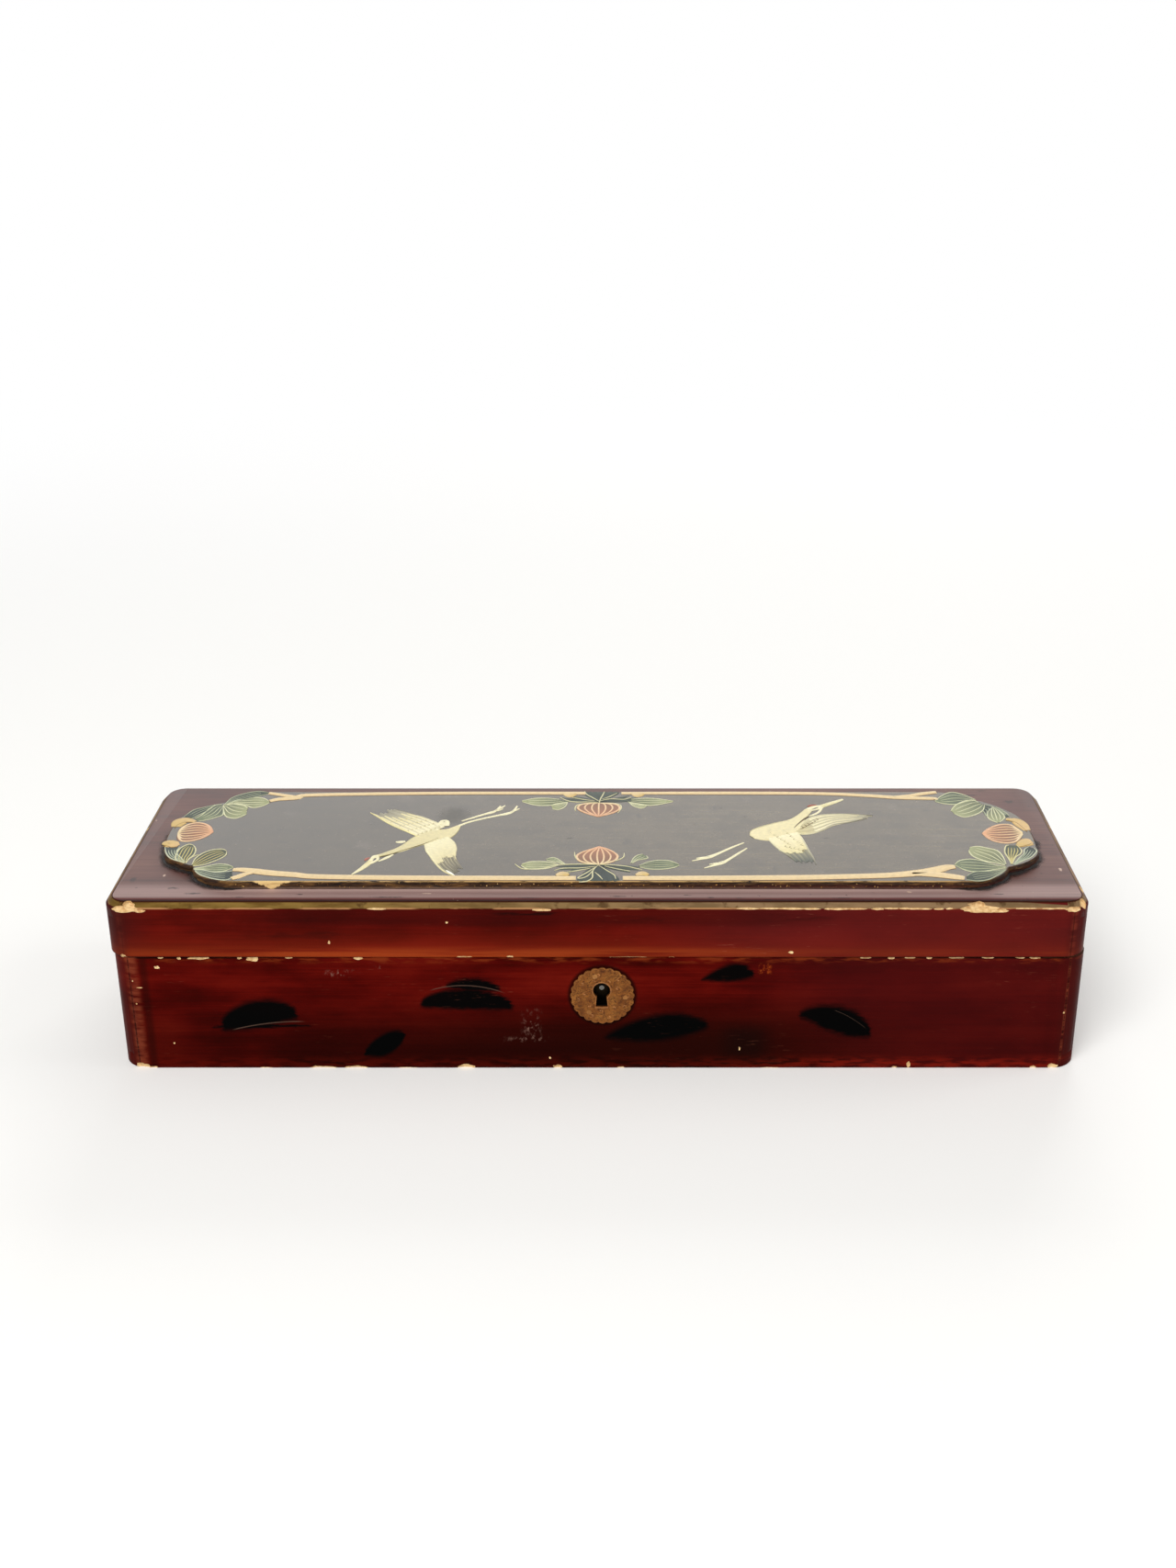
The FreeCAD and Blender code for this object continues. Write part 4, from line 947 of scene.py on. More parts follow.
pebble = crumb_jig.node("GeometryNodeMeshIcoSphere", sockets={"Radius": 1.0, "Subdivisions": 1})
stray = crumb_jig.node("ShaderNodeVectorMath", {"operation": "SCALE"}, {
    0: chance(crumb_jig, "FLOAT_VECTOR", (-1, -1, -1), (1, 1, 1), 1), "Scale": crumb_jig.given("Stray")})
strewn = crumb_jig.node("GeometryNodeSetPosition", sockets={0: spread, "Offset": stray})
size = chance(crumb_jig, "FLOAT", crumb_jig.given("Smallest"), crumb_jig.given("Largest"), 2)
size = crumb_jig.node("ShaderNodeVectorMath", {"operation": "SCALE"}, {
    0: chance(crumb_jig, "FLOAT_VECTOR", (0.5, 0.3, 0.4), (1.6, 0.9, 0.9), 3), "Scale": size})
turn = chance(crumb_jig, "FLOAT_VECTOR", (0, 0, 0), (6.28, 6.28, 6.28), 4)
scattered = crumb_jig.node("GeometryNodeInstanceOnPoints", sockets={
    "Points": strewn, "Instance": pebble, "Rotation": turn, "Scale": size})
ochre = Finish("ochre_crumbs", Roughness=0.6, Specular_IOR_Level=0.3)
place = ochre.places()[0]
tint = ochre.grain(place, 0.8, 2.0)
ochre.paint(Base_Color=ochre.ramp(tint, (0.40, (70, 40, 18)), (0.52, (168, 118, 58)), (0.64, (224, 184, 118))),
            Roughness=tint * 0.4 + 0.4)
crumb_jig.done(scattered, ochre)

PANEL_FRONT_Y = -33.0
front_run = [(x0, PANEL_FRONT_Y + 0.12, 57.1) for x0 in np.linspace(-108.0, 109.0, 220)]
crumb_mesh = bpy.data.meshes.new("edge_crumbs")
crumb_mesh.from_pydata([(a * MM, b * MM, c * MM) for a, b, c in front_run],
                       [(k, k + 1) for k in range(len(front_run) - 1)], [])
crumbs = crumb_jig.worked("edge_crumbs", crumb_mesh, Crumbs=200, Seed=8, Smallest=0.08 * MM, Largest=0.28 * MM,
                          Stray=0.6 * MM)
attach(crumbs, "lid")


# --- Painting on the panel ---
# Lacquer painting in low relief: each brush stroke is a flat, slightly crowned ridge of paint that follows
# a path. A ribbon runs round between clusters of leaves and buds, and two cranes fly inside it.
# All places are millimetres on the lid, as read off the photograph.
# The ribbon's second colour is for a painted shade line along its front edge
RIBBON, RIBBON_SHADE_LINE, OCHRE = (218, 192, 144), (104, 78, 54), (196, 166, 100)
LINE, GOLD_VEIN = (208, 202, 158), (192, 178, 112)
SALMON_BASE, BUD_RIB = (104, 80, 60), (226, 206, 162)
FEATHER, FEATHER_LIGHT, FEATHER_SHADE, FADED = (218, 206, 154), (232, 224, 184), (166, 152, 100), (116, 112, 98)
CROWN = (156, 88, 72)
# Each kind of leaf: its colour at the base, at the tip, its outline and its veins
PALE = ((84, 92, 68), (154, 157, 114), (212, 210, 172), (206, 204, 166))
GREY = ((62, 71, 58), (110, 119, 90), (198, 198, 160), (180, 182, 146))
OLIVE = ((46, 54, 43), (70, 76, 58), LINE, GOLD_VEIN)
DARK = ((36, 44, 39), (60, 69, 58), (164, 168, 138), (150, 156, 128))
BLUE = ((24, 33, 30), (42, 53, 48), (188, 192, 164), (160, 168, 142))


class Painting:
    """Brush strokes gathered for one painted piece: paths with a width, a colour and a relief."""

    def __init__(self):
        self.spots, self.joins, self.colours, self.reliefs = [], [], [], []

    def stroke(self, spots, start, end=None, relief=0.07):
        """A stroke through spots (x, y, half width), its colour going from start to end."""
        first, last = np.array(srgb(*start)), np.array(srgb(*(end or start)))
        base = len(self.spots)
        for k, (px, py, half) in enumerate(spots):
            self.spots.append((px, py, max(half, 0.05)))
            self.colours.append(first + (last - first) * k / max(len(spots) - 1, 1))
            self.reliefs.append(relief)
            if k:
                self.joins.append((base + k - 1, base + k))

    def line(self, spots, colour, half=0.2, relief=0.12, end=None):
        """A thin line of even width that ends in a point."""
        widths = [half * (0.45 if k in (0, len(spots) - 1) else 1.0) for k in range(len(spots))]
        self.stroke([(s[0], s[1], width) for s, width in zip(spots, widths)], colour, end, relief)

    def between(self, one, other, share, marks):
        """Spots part of the way from one edge to the other, at marks along both, and the edges' distance."""
        at = []
        for edge in (one, other):
            line = np.array([p[:2] for p in edge])
            run = np.concatenate([[0], np.cumsum(np.linalg.norm(np.diff(line, axis=0), axis=1))])
            run /= run[-1]
            last = (line[-1] - line[-2]) / (run[-1] - run[-2])
            at.append([np.array([np.interp(m, run, line[:, k]) for k in (0, 1)]) + last * max(0.0, m - 1)
                       for m in marks])
        return [((1 - share) * a + share * b, float(np.linalg.norm(a - b))) for a, b in zip(*at)]

    def fan(self, one, other, count, start, end, shade=None, relief=0.07, spread=1.25, ragged=0.0,
            seed=0, reach=1.0, first=0.0, point=0.6):
        """Fills the shape between two edges with strokes side by side, which fray at the far end."""
        draw = random.Random(seed)
        for k in range(count):
            to = reach + draw.uniform(-ragged, ragged)
            marks = np.linspace(first, to, 7)
            spots = [(p[0], p[1], apart / (2 * count) * spread * (point if m == marks[-1] else 1.0))
                     for m, (p, apart) in zip(marks, self.between(one, other, (k + 0.5) / count, marks))]
            self.stroke(spots, shade if shade and k % 2 else start, end, relief + 0.02 * (k % 2))

    def leaf(self, one, other, kind, veins=3):
        """A lobe between its two edges, from the base to the tip: filled, outlined and veined."""
        inner, outer, edge, vein = kind
        self.fan(one, other, 5, inner, outer, tuple(int(c * 0.86) for c in inner), 0.06, 1.4)
        for k in range(veins):
            share = (k + 1) / (veins + 1)
            marks = (0.02, 0.25, 0.5, 0.7, 0.84)
            self.line([tuple(p) for p, _ in self.between(one, other, share, marks)], vein, 0.2, 0.12)
        for side in (one, other):
            self.line(side, edge, 0.24, 0.14)

    def ticks(self, start, stop, count, colour, length=1.8, half=0.26, lean=0.5, relief=0.17):
        """A row of short curved marks, as on the small feathers near a wing's root."""
        for k in range(count):
            px, py = (a + (b - a) * k / max(count - 1, 1) for a, b in zip(start, stop))
            self.line([(px - lean * 0.5, py + length / 2), (px + lean * 0.3, py), (px - lean, py - length / 2)],
                      colour, half, relief)


brush_jig = Jig("brush_strokes", Level=PANEL_TOP_Z * MM, Around=10, Between=5)
path = brush_jig.node("GeometryNodeMeshToCurve", sockets={0: brush_jig.given()})
path = brush_jig.node("GeometryNodeCurveSplineType", {"spline_type": "CATMULL_ROM"}, {"Curve": path})
path = brush_jig.node("GeometryNodeSetSplineResolution", sockets={
    0: path, "Resolution": brush_jig.given("Between")})
path = brush_jig.node("GeometryNodeSetCurveNormal", {"mode": "Z_UP"}, {"Curve": path})
path = brush_jig.node("GeometryNodeStoreNamedAttribute", {"data_type": "FLOAT", "domain": "POINT"}, {
    0: path, "Name": "along", "Value": brush_jig.node("GeometryNodeSplineParameter", out="Factor")})
tube = brush_jig.node("GeometryNodeCurveToMesh", sockets={
    "Curve": path, "Profile Curve": brush_jig.node("GeometryNodeCurvePrimitiveCircle", sockets={
        "Resolution": brush_jig.given("Around"), "Radius": 1.0}),
    "Scale": brush_jig.named("half_width"), "Fill Caps": True})
spot = brush_jig.node("GeometryNodeInputPosition")
up = brush_jig.node("ShaderNodeSeparateXYZ", sockets={0: spot}, out="Z") - brush_jig.given("Level")
crown = up / brush_jig.named("half_width")
tube = brush_jig.node("GeometryNodeStoreNamedAttribute", {"data_type": "FLOAT", "domain": "POINT"}, {
    0: tube, "Name": "crown", "Value": crown})
flat = brush_jig.node("ShaderNodeCombineXYZ", sockets={2: crown * brush_jig.named("relief") - up})
tube = brush_jig.node("GeometryNodeSetPosition", sockets={0: tube, "Offset": flat})
tube = brush_jig.node("GeometryNodeSetShadeSmooth", sockets={0: tube})

gouache = Finish("relief_paint", Specular_IOR_Level=0.25)
place = gouache.places()[0]
pigment = gouache.node("ShaderNodeAttribute", {"attribute_name": "pigment"}, out="Color")
along = gouache.node("ShaderNodeAttribute", {"attribute_name": "along"}, out="Fac")
hair = gouache.grain(place, 0.8, 4.0, 0.6)
thin = gouache.grain(place, 0.26, 4.0, 0.6)
colour = gouache.dim(pigment, hair * 0.44 + 0.80)
colour = gouache.mix(thin.rise(0.60, 0.78) * 0.45, colour, gouache.dim(pigment, 0.6))
gouache.paint(Base_Color=colour, Roughness=hair * 0.25 + 0.30)
gouache.bump(hair + along * 0.3, 0.04)
brush_jig.done(tube, gouache)


def painted(name, painting):
    """Turns the strokes into one closed piece of relief paint riding on the lid."""
    mesh = bpy.data.meshes.new(name)
    spots = [(px * MM, py * MM, PANEL_TOP_Z * MM) for px, py, half in painting.spots]
    mesh.from_pydata(spots, painting.joins, [])
    marked(mesh, "half_width", [half * MM for px, py, half in painting.spots])
    marked(mesh, "relief", [r * MM for r in painting.reliefs])
    marked(mesh, "pigment", [c for tint in painting.colours for c in tint], "FLOAT_COLOR")
    piece = brush_jig.worked(name, mesh)
    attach(piece, "lid")


# The ribbon: along both long edges, forking where it reaches the leaves, with a knot by the middle
ribbon = Painting()
RIBBONS = [
    [(-109.7, -25, 1.1), (-107.1, -25, 1.4), (-103, -26, 1.8), (-97.2, -27.4, 1.8), (-90.6, -28.4, 1.7),
     (-84, -29.6, 1.6), (-60, -30.4, 1.6), (-30, -30.6, 1.6), (-6.6, -30.6, 1.4)],
    [(-109, -31, 1.2), (-107.3, -29.7, 1.3), (-105.4, -28, 1.2), (-102.9, -26.6, 0.9)],
    [(-107.6, 25.3, 1.1), (-105.1, 26.7, 1.3), (-102.2, 27.3, 1.4), (-98.7, 28, 1.4), (-96, 30, 1.3),
     (-70, 31.2, 1.2), (-40, 31.7, 1.2), (-4.8, 31.6, 1.2)],
    [(-108.9, 31.6, 1), (-105.8, 30.6, 1.1), (-102.6, 29.5, 1.1), (-100, 28.9, 0.8)],
    [(7.4, -30.6, 1.4), (30, -30.6, 1.6), (60, -30.2, 1.7), (78, -29.4, 1.7), (88, -28.6, 1.8),
     (97, -26.9, 2.2), (101.6, -25.2, 2.2), (105.3, -23.3, 1.8), (107.6, -23.1, 1.2)],
    [(109.1, -30.6, 1.3), (106.6, -29.9, 1.7), (103, -28.8, 1.9), (99, -27.8, 2.0), (94.0, -27.6, 1.6)],
    [(7, 31.6, 1), (30, 31.7, 1.2), (60, 31.6, 1.2), (76, 31, 1.2), (88, 29.6, 1.3), (98, 28, 1.3),
     (108.7, 27.4, 1.2), (109.3, 26.5, 0.8)],
    [(110.6, 32.4, 1), (106, 31.2, 1.2), (101.6, 29.6, 1.1), (96, 28.6, 0.8)],
]
for spots in RIBBONS:
    ribbon.stroke(spots, RIBBON, None, 0.15)
    # Painted shade: a brown line along each ribbon's front edge; painted highlight: a paler line along its back
    # half
    ribbon.stroke([(a, b - c - 0.05, 0.2) for a, b, c in spots], RIBBON_SHADE_LINE, None, 0.06)
    ribbon.stroke([(a, b + c * 0.5, 0.3) for a, b, c in spots], (226, 206, 166), None, 0.19)
for mid_x, mid_y, way in ((-10.6, -27.9, 1), (13.2, -27.8, 1), (-9.9, 29.9, -1), (12.4, 30.1, -1)):
    ribbon.stroke([(mid_x - 1.9, mid_y - way * 0.9, 0.5), (mid_x, mid_y + way * 0.2, 1.5),
                   (mid_x + 1.9, mid_y - way * 0.9, 0.6)], RIBBON, OCHRE, 0.2)
# Scraps of the ribbon between the end buds and the leaves
for spots in (
    [(-133.7, 5.5, 1.6), (-133.3, 8.8, 2.6), (-131.8, 10.3, 2.2), (-129.7, 9.9, 1.2), (-128.5, 9, 0.8)],
    [(-134.2, -8, 1.2), (-133.2, -6.7, 2.4), (-131.5, -7.7, 2.4), (-129.9, -8.4, 1)],
    [(129.5, 11.1, 0.9), (131.1, 10.7, 1.3), (132.6, 9.9, 2), (133.7, 6.8, 2.2), (134.6, 2.8, 1.2)],
    [(129.4, -8.8, 0.9), (131.4, -6.9, 2.2), (133.3, -5.5, 2.6), (134.3, -5.2, 1.6)],
):
    ribbon.stroke(spots, OCHRE, (206, 172, 118), 0.12)
    ribbon.line([(a - 0.2, b - c * 0.8, c) for a, b, c in spots], (150, 116, 66), 0.2, 0.15)
painted("painted_ribbon", ribbon)

# The leaves, lobe by lobe: both edges from base to tip, and the kind of leaf
LOBES = [
    ([(-121.8, 22.6), (-120.4, 27.8), (-116.8, 31.4), (-112.7, 33), (-109.3, 32.1)],
     [(-121.6, 22.2), (-118.7, 25.3), (-115.9, 26.7), (-112.5, 28.5), (-109.2, 31.2)], DARK),
    ([(-121.2, 22.6), (-118.7, 25.6), (-115.9, 26.7), (-113.1, 28), (-109.9, 27.4), (-107.8, 25)],
     [(-121.1, 22.2), (-118.2, 23), (-114.6, 21.8), (-112.2, 20), (-109.4, 21.3), (-107.5, 23.8)], PALE),
    ([(-124.7, 22.2), (-128, 20.2), (-130.9, 18.2), (-132.8, 13.1)],
     [(-125.2, 20), (-126.7, 16.9), (-128.5, 14.2), (-130.1, 11.7)], DARK),
    ([(-122.7, 22.6), (-124.7, 21.8), (-126.3, 18.2), (-127.6, 14), (-129.1, 11.6)],
     [(-121.9, 20.7), (-120.8, 14.8), (-122.2, 12.9), (-124.8, 10.8), (-127.5, 9.6)], GREY),
    ([(-122.1, 22.6), (-119.7, 23), (-117.2, 22.4), (-115.2, 21.5), (-113.8, 19.6)],
     [(-122.1, 21.8), (-121, 17.1), (-119.3, 13.1), (-116, 11.9), (-113.4, 14.8)], PALE),
    ([(-125.1, -20.2), (-127.3, -19.2), (-130.4, -17), (-132.5, -13.4), (-133.7, -9.5)],
     [(-125.2, -19.9), (-127.4, -16.6), (-128.7, -14.7), (-129.5, -12), (-129.2, -9.5)], BLUE),
    ([(-125.3, -20.5), (-128.3, -18.3), (-129.1, -14.7), (-128.8, -10.2), (-127, -7.5), (-125.5, -7.9)],
     [(-124.8, -20.7), (-124.5, -17.6), (-123.7, -14.7), (-123.8, -11.7), (-124.6, -9.3),
      (-125.5, -7.9)], OLIVE),
    ([(-121.3, -25.1), (-118.3, -25.5), (-114.7, -26.8), (-111.6, -26.4), (-109.7, -26)],
     [(-121, -25.8), (-118.8, -28.5), (-114.9, -30.8), (-110.8, -32), (-109, -30.5)], BLUE),
    ([(-121.8, -24.2), (-118.8, -23.1), (-115.2, -21.3), (-112.3, -21.6), (-110, -23.2)],
     [(-121.6, -24.7), (-119, -25), (-115.6, -26.4), (-112.3, -26), (-109.9, -23.7)], GREY),
    ([(-122.8, -21.8), (-122.6, -17.2), (-121.1, -13.7), (-118.7, -11.4), (-115.9, -10.8), (-114.2, -12.2)],
     [(-122.3, -22.6), (-119.6, -21.8), (-117, -19.6), (-114.9, -17.2), (-113.9, -15), (-114.1, -12.7)], OLIVE),
    ([(122.6, 26.3), (119.2, 30.4), (115.8, 32.3), (112.4, 29.9), (109.2, 25.4)],
     [(122.4, 25.7), (119.2, 24.8), (115.4, 22.6), (111.8, 23.2), (109.2, 24.8)], GREY),
    ([(128.1, 20.6), (129.4, 18.5), (130.6, 15.5), (131, 13.3)],
     [(127.3, 20.3), (128.5, 17.3), (129.2, 14.6), (129.7, 12.3)], DARK),
    ([(124.7, 22.3), (127.1, 20.6), (125.2, 17.3), (124.3, 14.6)],
     [(123.4, 17.9), (123.7, 15.4), (123.7, 14.2), (124.3, 12.6)], DARK),
    ([(123.1, 24.2), (121.4, 26), (118.2, 24.8), (115.2, 21.7), (113.1, 17.6)],
     [(124.7, 21.9), (123.4, 17.9), (120.4, 14.6), (116.4, 12.8), (113.9, 15.4)], PALE),
    ([(127.1, 20.6), (124.9, 16.7), (124.1, 13.2), (124.6, 10.6), (126.3, 8.5)],
     [(127.2, 20.6), (128.5, 17.6), (129.4, 14.3), (129.1, 11.7), (127.1, 8.9)], PALE),
    ([(125.4, -21.7), (127.9, -17.4), (130.1, -14.2), (130.9, -11.2), (132.6, -9.2)],
     [(125.7, -21.8), (129.2, -18.7), (132, -16.3), (134.4, -12.3), (134, -10.3)], BLUE),
    ([(125.2, -21.3), (127, -16.6), (129, -14.2), (129.9, -11.5), (129.2, -8.3)],
     [(124.9, -21.3), (124.8, -17.4), (124.5, -13.1), (125.6, -8.8), (126.7, -8)], OLIVE),
    ([(122.6, -24.7), (119.6, -25.6), (116.2, -26.3), (112.7, -26.7), (109.9, -29.5)],
     [(122.5, -25.1), (120, -28), (116.2, -31.5), (112.6, -32.6), (109.6, -31.7)], DARK),
    ([(123, -23.1), (119.8, -21.8), (116.2, -18.9), (112.9, -17.9), (109.7, -18.9), (107.7, -21.6)],
     [(122.9, -23.9), (119.2, -24.9), (115.8, -26.1), (112.1, -26.3), (109.7, -24.8), (107.8, -22.1)], GREY),
    ([(123.3, -21.3), (123.3, -16.3), (122.4, -12), (119.7, -10.1), (116.9, -8.9), (114.4, -9.6)],
     [(122.8, -22.1), (120.3, -20.5), (117.6, -19.2), (115, -16.9), (113.9, -14.8), (113.7, -12)], PALE),
    ([(-13.4, 26.7), (-17.5, 27.5), (-21.5, 27.3), (-25.4, 25.4)],
     [(-10.5, 24.5), (-15.5, 22), (-20.5, 21.9), (-25.2, 24.5)], PALE),
    ([(-10.5, 24.5), (-13, 23.6), (-14.8, 22.7), (-15.8, 21.7)],
     [(-10.5, 24.1), (-11.3, 20.8), (-13.2, 18.6), (-15.2, 18.9)], PALE),
    ([(10.2, 26.7), (13.5, 27.3), (17.8, 27.3), (23.8, 25.2)],
     [(9.8, 24.1), (14.9, 21.9), (18.5, 22.3), (23.6, 24.5)], PALE),
    ([(9.1, 24.5), (11.3, 23.6), (13.4, 22.7), (15.6, 21.9)],
     [(9.5, 24.1), (10.9, 21.4), (13.4, 19.6), (15, 21)], PALE),
    ([(-9.9, -21.4), (-12.4, -17.8), (-14.1, -16.8), (-15.9, -18)],
     [(-10.1, -21.8), (-12.3, -20.1), (-14, -19.3), (-15.7, -18.5)], GREY),
    ([(9.8, -20.7), (10.7, -17.2), (12, -15.1), (13.5, -14.5)],
     [(10.3, -20.7), (12, -18.5), (14.9, -17.2), (14.6, -15.7)], GREY),
    ([(-12.3, -21.3), (-14.7, -19.9), (-17.4, -19.4), (-20.7, -19.6), (-23.1, -21.3)],
     [(-11.9, -21.9), (-14.9, -23.9), (-17.8, -24.6), (-21.2, -24.5), (-23.3, -22.3)], PALE),
    ([(12.3, -22.3), (15, -19.9), (18.1, -18.7), (21.8, -19.1), (24.4, -21.6)],
     [(12.5, -23.3), (15.6, -24.6), (19.7, -24.6), (22.7, -23.6), (24.4, -22.2)], GREY),
]
STEMS = [
    [(-0.3, 23.2), (0.1, 26.7), (0.9, 30.3), (1.4, 32.7)],
    [(0.1, 24.5), (-2.4, 27.9), (-4.3, 30.4), (-5.2, 33)],
    [(-0.7, 24.3), (-3.9, 24.5), (-7.6, 24.5), (-10.5, 25.4), (-13.1, 28.2)],
    [(0.2, 25.4), (3.3, 27), (7.7, 26.6), (10.2, 28.1)],
    [(-1.8, 25.4), (-5.4, 26.5), (-9.1, 28.2)],
    [(0.7, 26.7), (3.3, 29), (5.5, 31.5)],
    [(0, -22), (-1.6, -25.8), (-1.7, -30.4), (-3.3, -32.8), (-5.6, -33.2)],
    [(-0.1, -22.3), (-3.1, -26.7), (-5.9, -30.4), (-4.7, -30.7), (-3, -29.1), (-1.6, -25.6)],
    [(0.2, -22.3), (2.6, -25.6), (4.8, -28.6), (5.3, -31.3)],
    [(-0.9, -26.9), (0.3, -29.1), (1.4, -31.6)],
    [(-0.1, -21.6), (-5.2, -21.3), (-9.2, -21.4), (-12.6, -21.8), (-16.5, -24.1), (-19.8, -24.6),
     (-22.9, -24.3), (-25.2, -21.3)],
    [(-0.8, -22.9), (-5.8, -23.9), (-10.5, -24.1), (-13.1, -25.6)],
    [(-2.4, -24.1), (-6.4, -25.7), (-9.7, -26.9)],
    [(0.9, -21.6), (4.9, -22), (8.9, -22.9), (13.2, -25.2)],
    [(1.9, -22.6), (5.6, -24.5), (9.6, -26.1)],
    [(-1, 23.2), (-4.3, 23.1), (-7.2, 22.2), (-8, 19.7), (-7.8, 17.3)],
    [(0.4, 23.2), (3.7, 23.6), (6.4, 22.3), (6.9, 19.7), (5.8, 15.8)],
    [(-0.1, -21.3), (-3.2, -20.7), (-5.6, -19.3), (-7, -16.4), (-7.4, -12.9)],
    [(0.2, -21.3), (3.6, -19.6), (6.4, -18.1), (7.7, -16.1), (7.8, -13.7)],
    [(-124.9, -20.2), (-124.1, -16.8), (-122.3, -14.7)],
]
leaves = Painting()
# The tufts that fill the ribbon's gap at the middle of each long edge
for base_y, way, tint in ((-22.0, -1, BLUE), (24.6, 1, DARK)):
    tip_y = -32.6 if way < 0 else 32.6
    leaves.fan([(-0.2, base_y), (-3.4, base_y + way * 3.6), (-6.4, tip_y)],
               [(0.4, base_y), (3.4, base_y + way * 3.6), (6.6, tip_y)],
               7, tint[0], tint[1], DARK[0], 0.05, 1.5, 0.0)
    for tip_x, drop in ((-12.6, 1.0), (-12.4, 3.2), (-9.4, 4.8), (12.9, 1.4), (12.2, 3.4), (9.6, 4.9)):
        side = math.copysign(1.0, tip_x)
        leaves.stroke([(0.6 * side, base_y, 0.3), (tip_x * 0.4, base_y + way * drop * 0.35, 0.9),
                       (tip_x * 0.75, base_y + way * drop * 0.7, 0.8), (tip_x, base_y + way * drop, 0.1)],
                      tint[0], GREY[0], 0.05)
for one, other, kind in LOBES:
    leaves.leaf(one, other, kind, 4 if kind is OLIVE else 2 if len(one) < 5 else 3)
for spots in STEMS:
    leaves.line(spots, LINE, 0.24, 0.15)
painted("painted_leaves", leaves)

# The buds: two at the middle of the long edges and one at each end, both edges from base to tip
BUDS = [
    ([(-0.3, 23.6), (-3.9, 23.4), (-6.8, 21.9), (-7.4, 20.1), (-5.2, 16.6), (-2.4, 14.4), (-0.4, 13)],
     [(-0.3, 23.6), (3.3, 23.4), (5.8, 22), (6.6, 19.7), (4.8, 16.6), (1.9, 14.4), (-0.4, 13)], 7),
    ([(0.2, -21.6), (-3.2, -20.7), (-5.6, -19.3), (-6.7, -16.4), (-6.4, -14.1), (-3.3, -11.8), (0.1, -9)],
     [(0.2, -21.6), (3.2, -20.3), (5.6, -18), (5.8, -15.7), (4.2, -12.3), (2.1, -10.4), (0.1, -9)], 7),
    ([(-132.1, 1.1), (-131.5, 5), (-129.3, 8.3), (-126.1, 8.5), (-123.3, 6), (-121.4, 2.2)],
     [(-132, 0.7), (-130.9, -3), (-129.2, -5.5), (-126.2, -4.8), (-123.2, -2.5), (-121.2, 1.6)], 8),
    ([(132.8, 1.2), (131.6, 4), (129.7, 7.3), (126.2, 6.9), (123.1, 4.4), (120.2, 0.8)],
     [(132.6, 0), (130.3, -4.2), (128.1, -6.6), (124.7, -6.3), (121.8, -4.3), (120.1, 0.4)], 8),
]
buds = Painting()
for one, other, ribs in BUDS:
    buds.fan(one, other, 6, SALMON_BASE, (160, 108, 80), (112, 82, 62), 0.08, 1.4)
    for k in range(ribs):
        marks = np.linspace(0, 1, 7)
        buds.line([tuple(p) for p, _ in buds.between(one, other, k / (ribs - 1), marks)], BUD_RIB,
                  0.42 if k in (0, ribs - 1) else 0.32, 0.17, (216, 164, 128))
painted("painted_buds", buds)


# --- The two cranes ---
# Cranes painted in cream over the black ground: wings laid in quill by quill, fading out at their tips, small
# marks for the feathers near the root, the neck and bill in fine strokes, and a touch of red on the crown.
BODY_TONE, BODY_SHADE, TIP_TONE = (220, 208, 160), (204, 192, 146), (104, 98, 82)
left_crane = Painting()
# Each wing's fore and hind edge, from the root to the tip
near_fore = [(-53.6, -7.5), (-52.7, -12.1), (-51, -16.2), (-49.4, -20.3), (-47.4, -24.3), (-45.4, -27),
             (-43.1, -29.1)]
near_hind = [(-47.4, -2), (-45.3, -5.4), (-44.2, -9.6), (-44.2, -13.7), (-43.3, -18.2), (-41.8, -21.9),
             (-40.7, -24.3)]
far_fore = [(-55.4, -2.9), (-59.3, 1), (-62.6, 4), (-65.9, 7.1), (-68.9, 10.6), (-71.5, 13.9), (-73.6, 16)]
far_hind = [(-49, 5.3), (-51.3, 8.2), (-53.8, 10.5), (-56.6, 12.9), (-59.6, 14.6), (-62.4, 16.5), (-66.1, 18.8)]
left_crane.fan(near_fore, near_hind, 9, (176, 164, 124), TIP_TONE, (140, 130, 102), 0.06, 1.4, 0.04, 5, 0.96)
left_crane.fan(near_fore, near_hind, 6, (200, 190, 150), (140, 134, 114), None, 0.10, 0.3, 0.05, 12, 0.9, 0.4)
left_crane.fan(near_fore, near_hind, 6, FEATHER_LIGHT, (216, 204, 158), None, 0.13, 1.6, 0.05, 2, 0.56,
               point=0.9)
left_crane.fan(far_fore, far_hind, 9, FEATHER_LIGHT, (140, 134, 116), (222, 212, 170), 0.09, 1.5, 0.07, 4, 0.96)
left_crane.fan(far_fore, far_hind, 7, (236, 226, 188), FEATHER, None, 0.12, 1.0, 0.12, 6, 0.74, 0.1)
left_crane.line(far_fore, (236, 224, 164), 0.4, 0.17, FEATHER)
left_crane.line(far_hind, FEATHER_LIGHT, 0.24, 0.15, FADED)
left_crane.line(near_fore, FEATHER_LIGHT, 0.34, 0.16, FEATHER)
left_crane.line(near_hind[:5], FEATHER_LIGHT, 0.3, 0.16, FEATHER)
left_crane.line([(-45.6, -25.6), (-44.3, -27.2), (-42.8, -29.1)], (240, 238, 226), 0.5, 0.17)
for start, stop, count in (
        ((-50.4, 5.0), (-56.6, -0.6), 6), ((-52.6, 7.6), (-60.0, 2.4), 7), ((-55.2, 10.0), (-63.0, 5.6), 7),
        ((-58.4, 12.2), (-66.0, 9.0), 6)):
    left_crane.ticks(start, stop, count, (184, 170, 118), 1.1, 0.15)
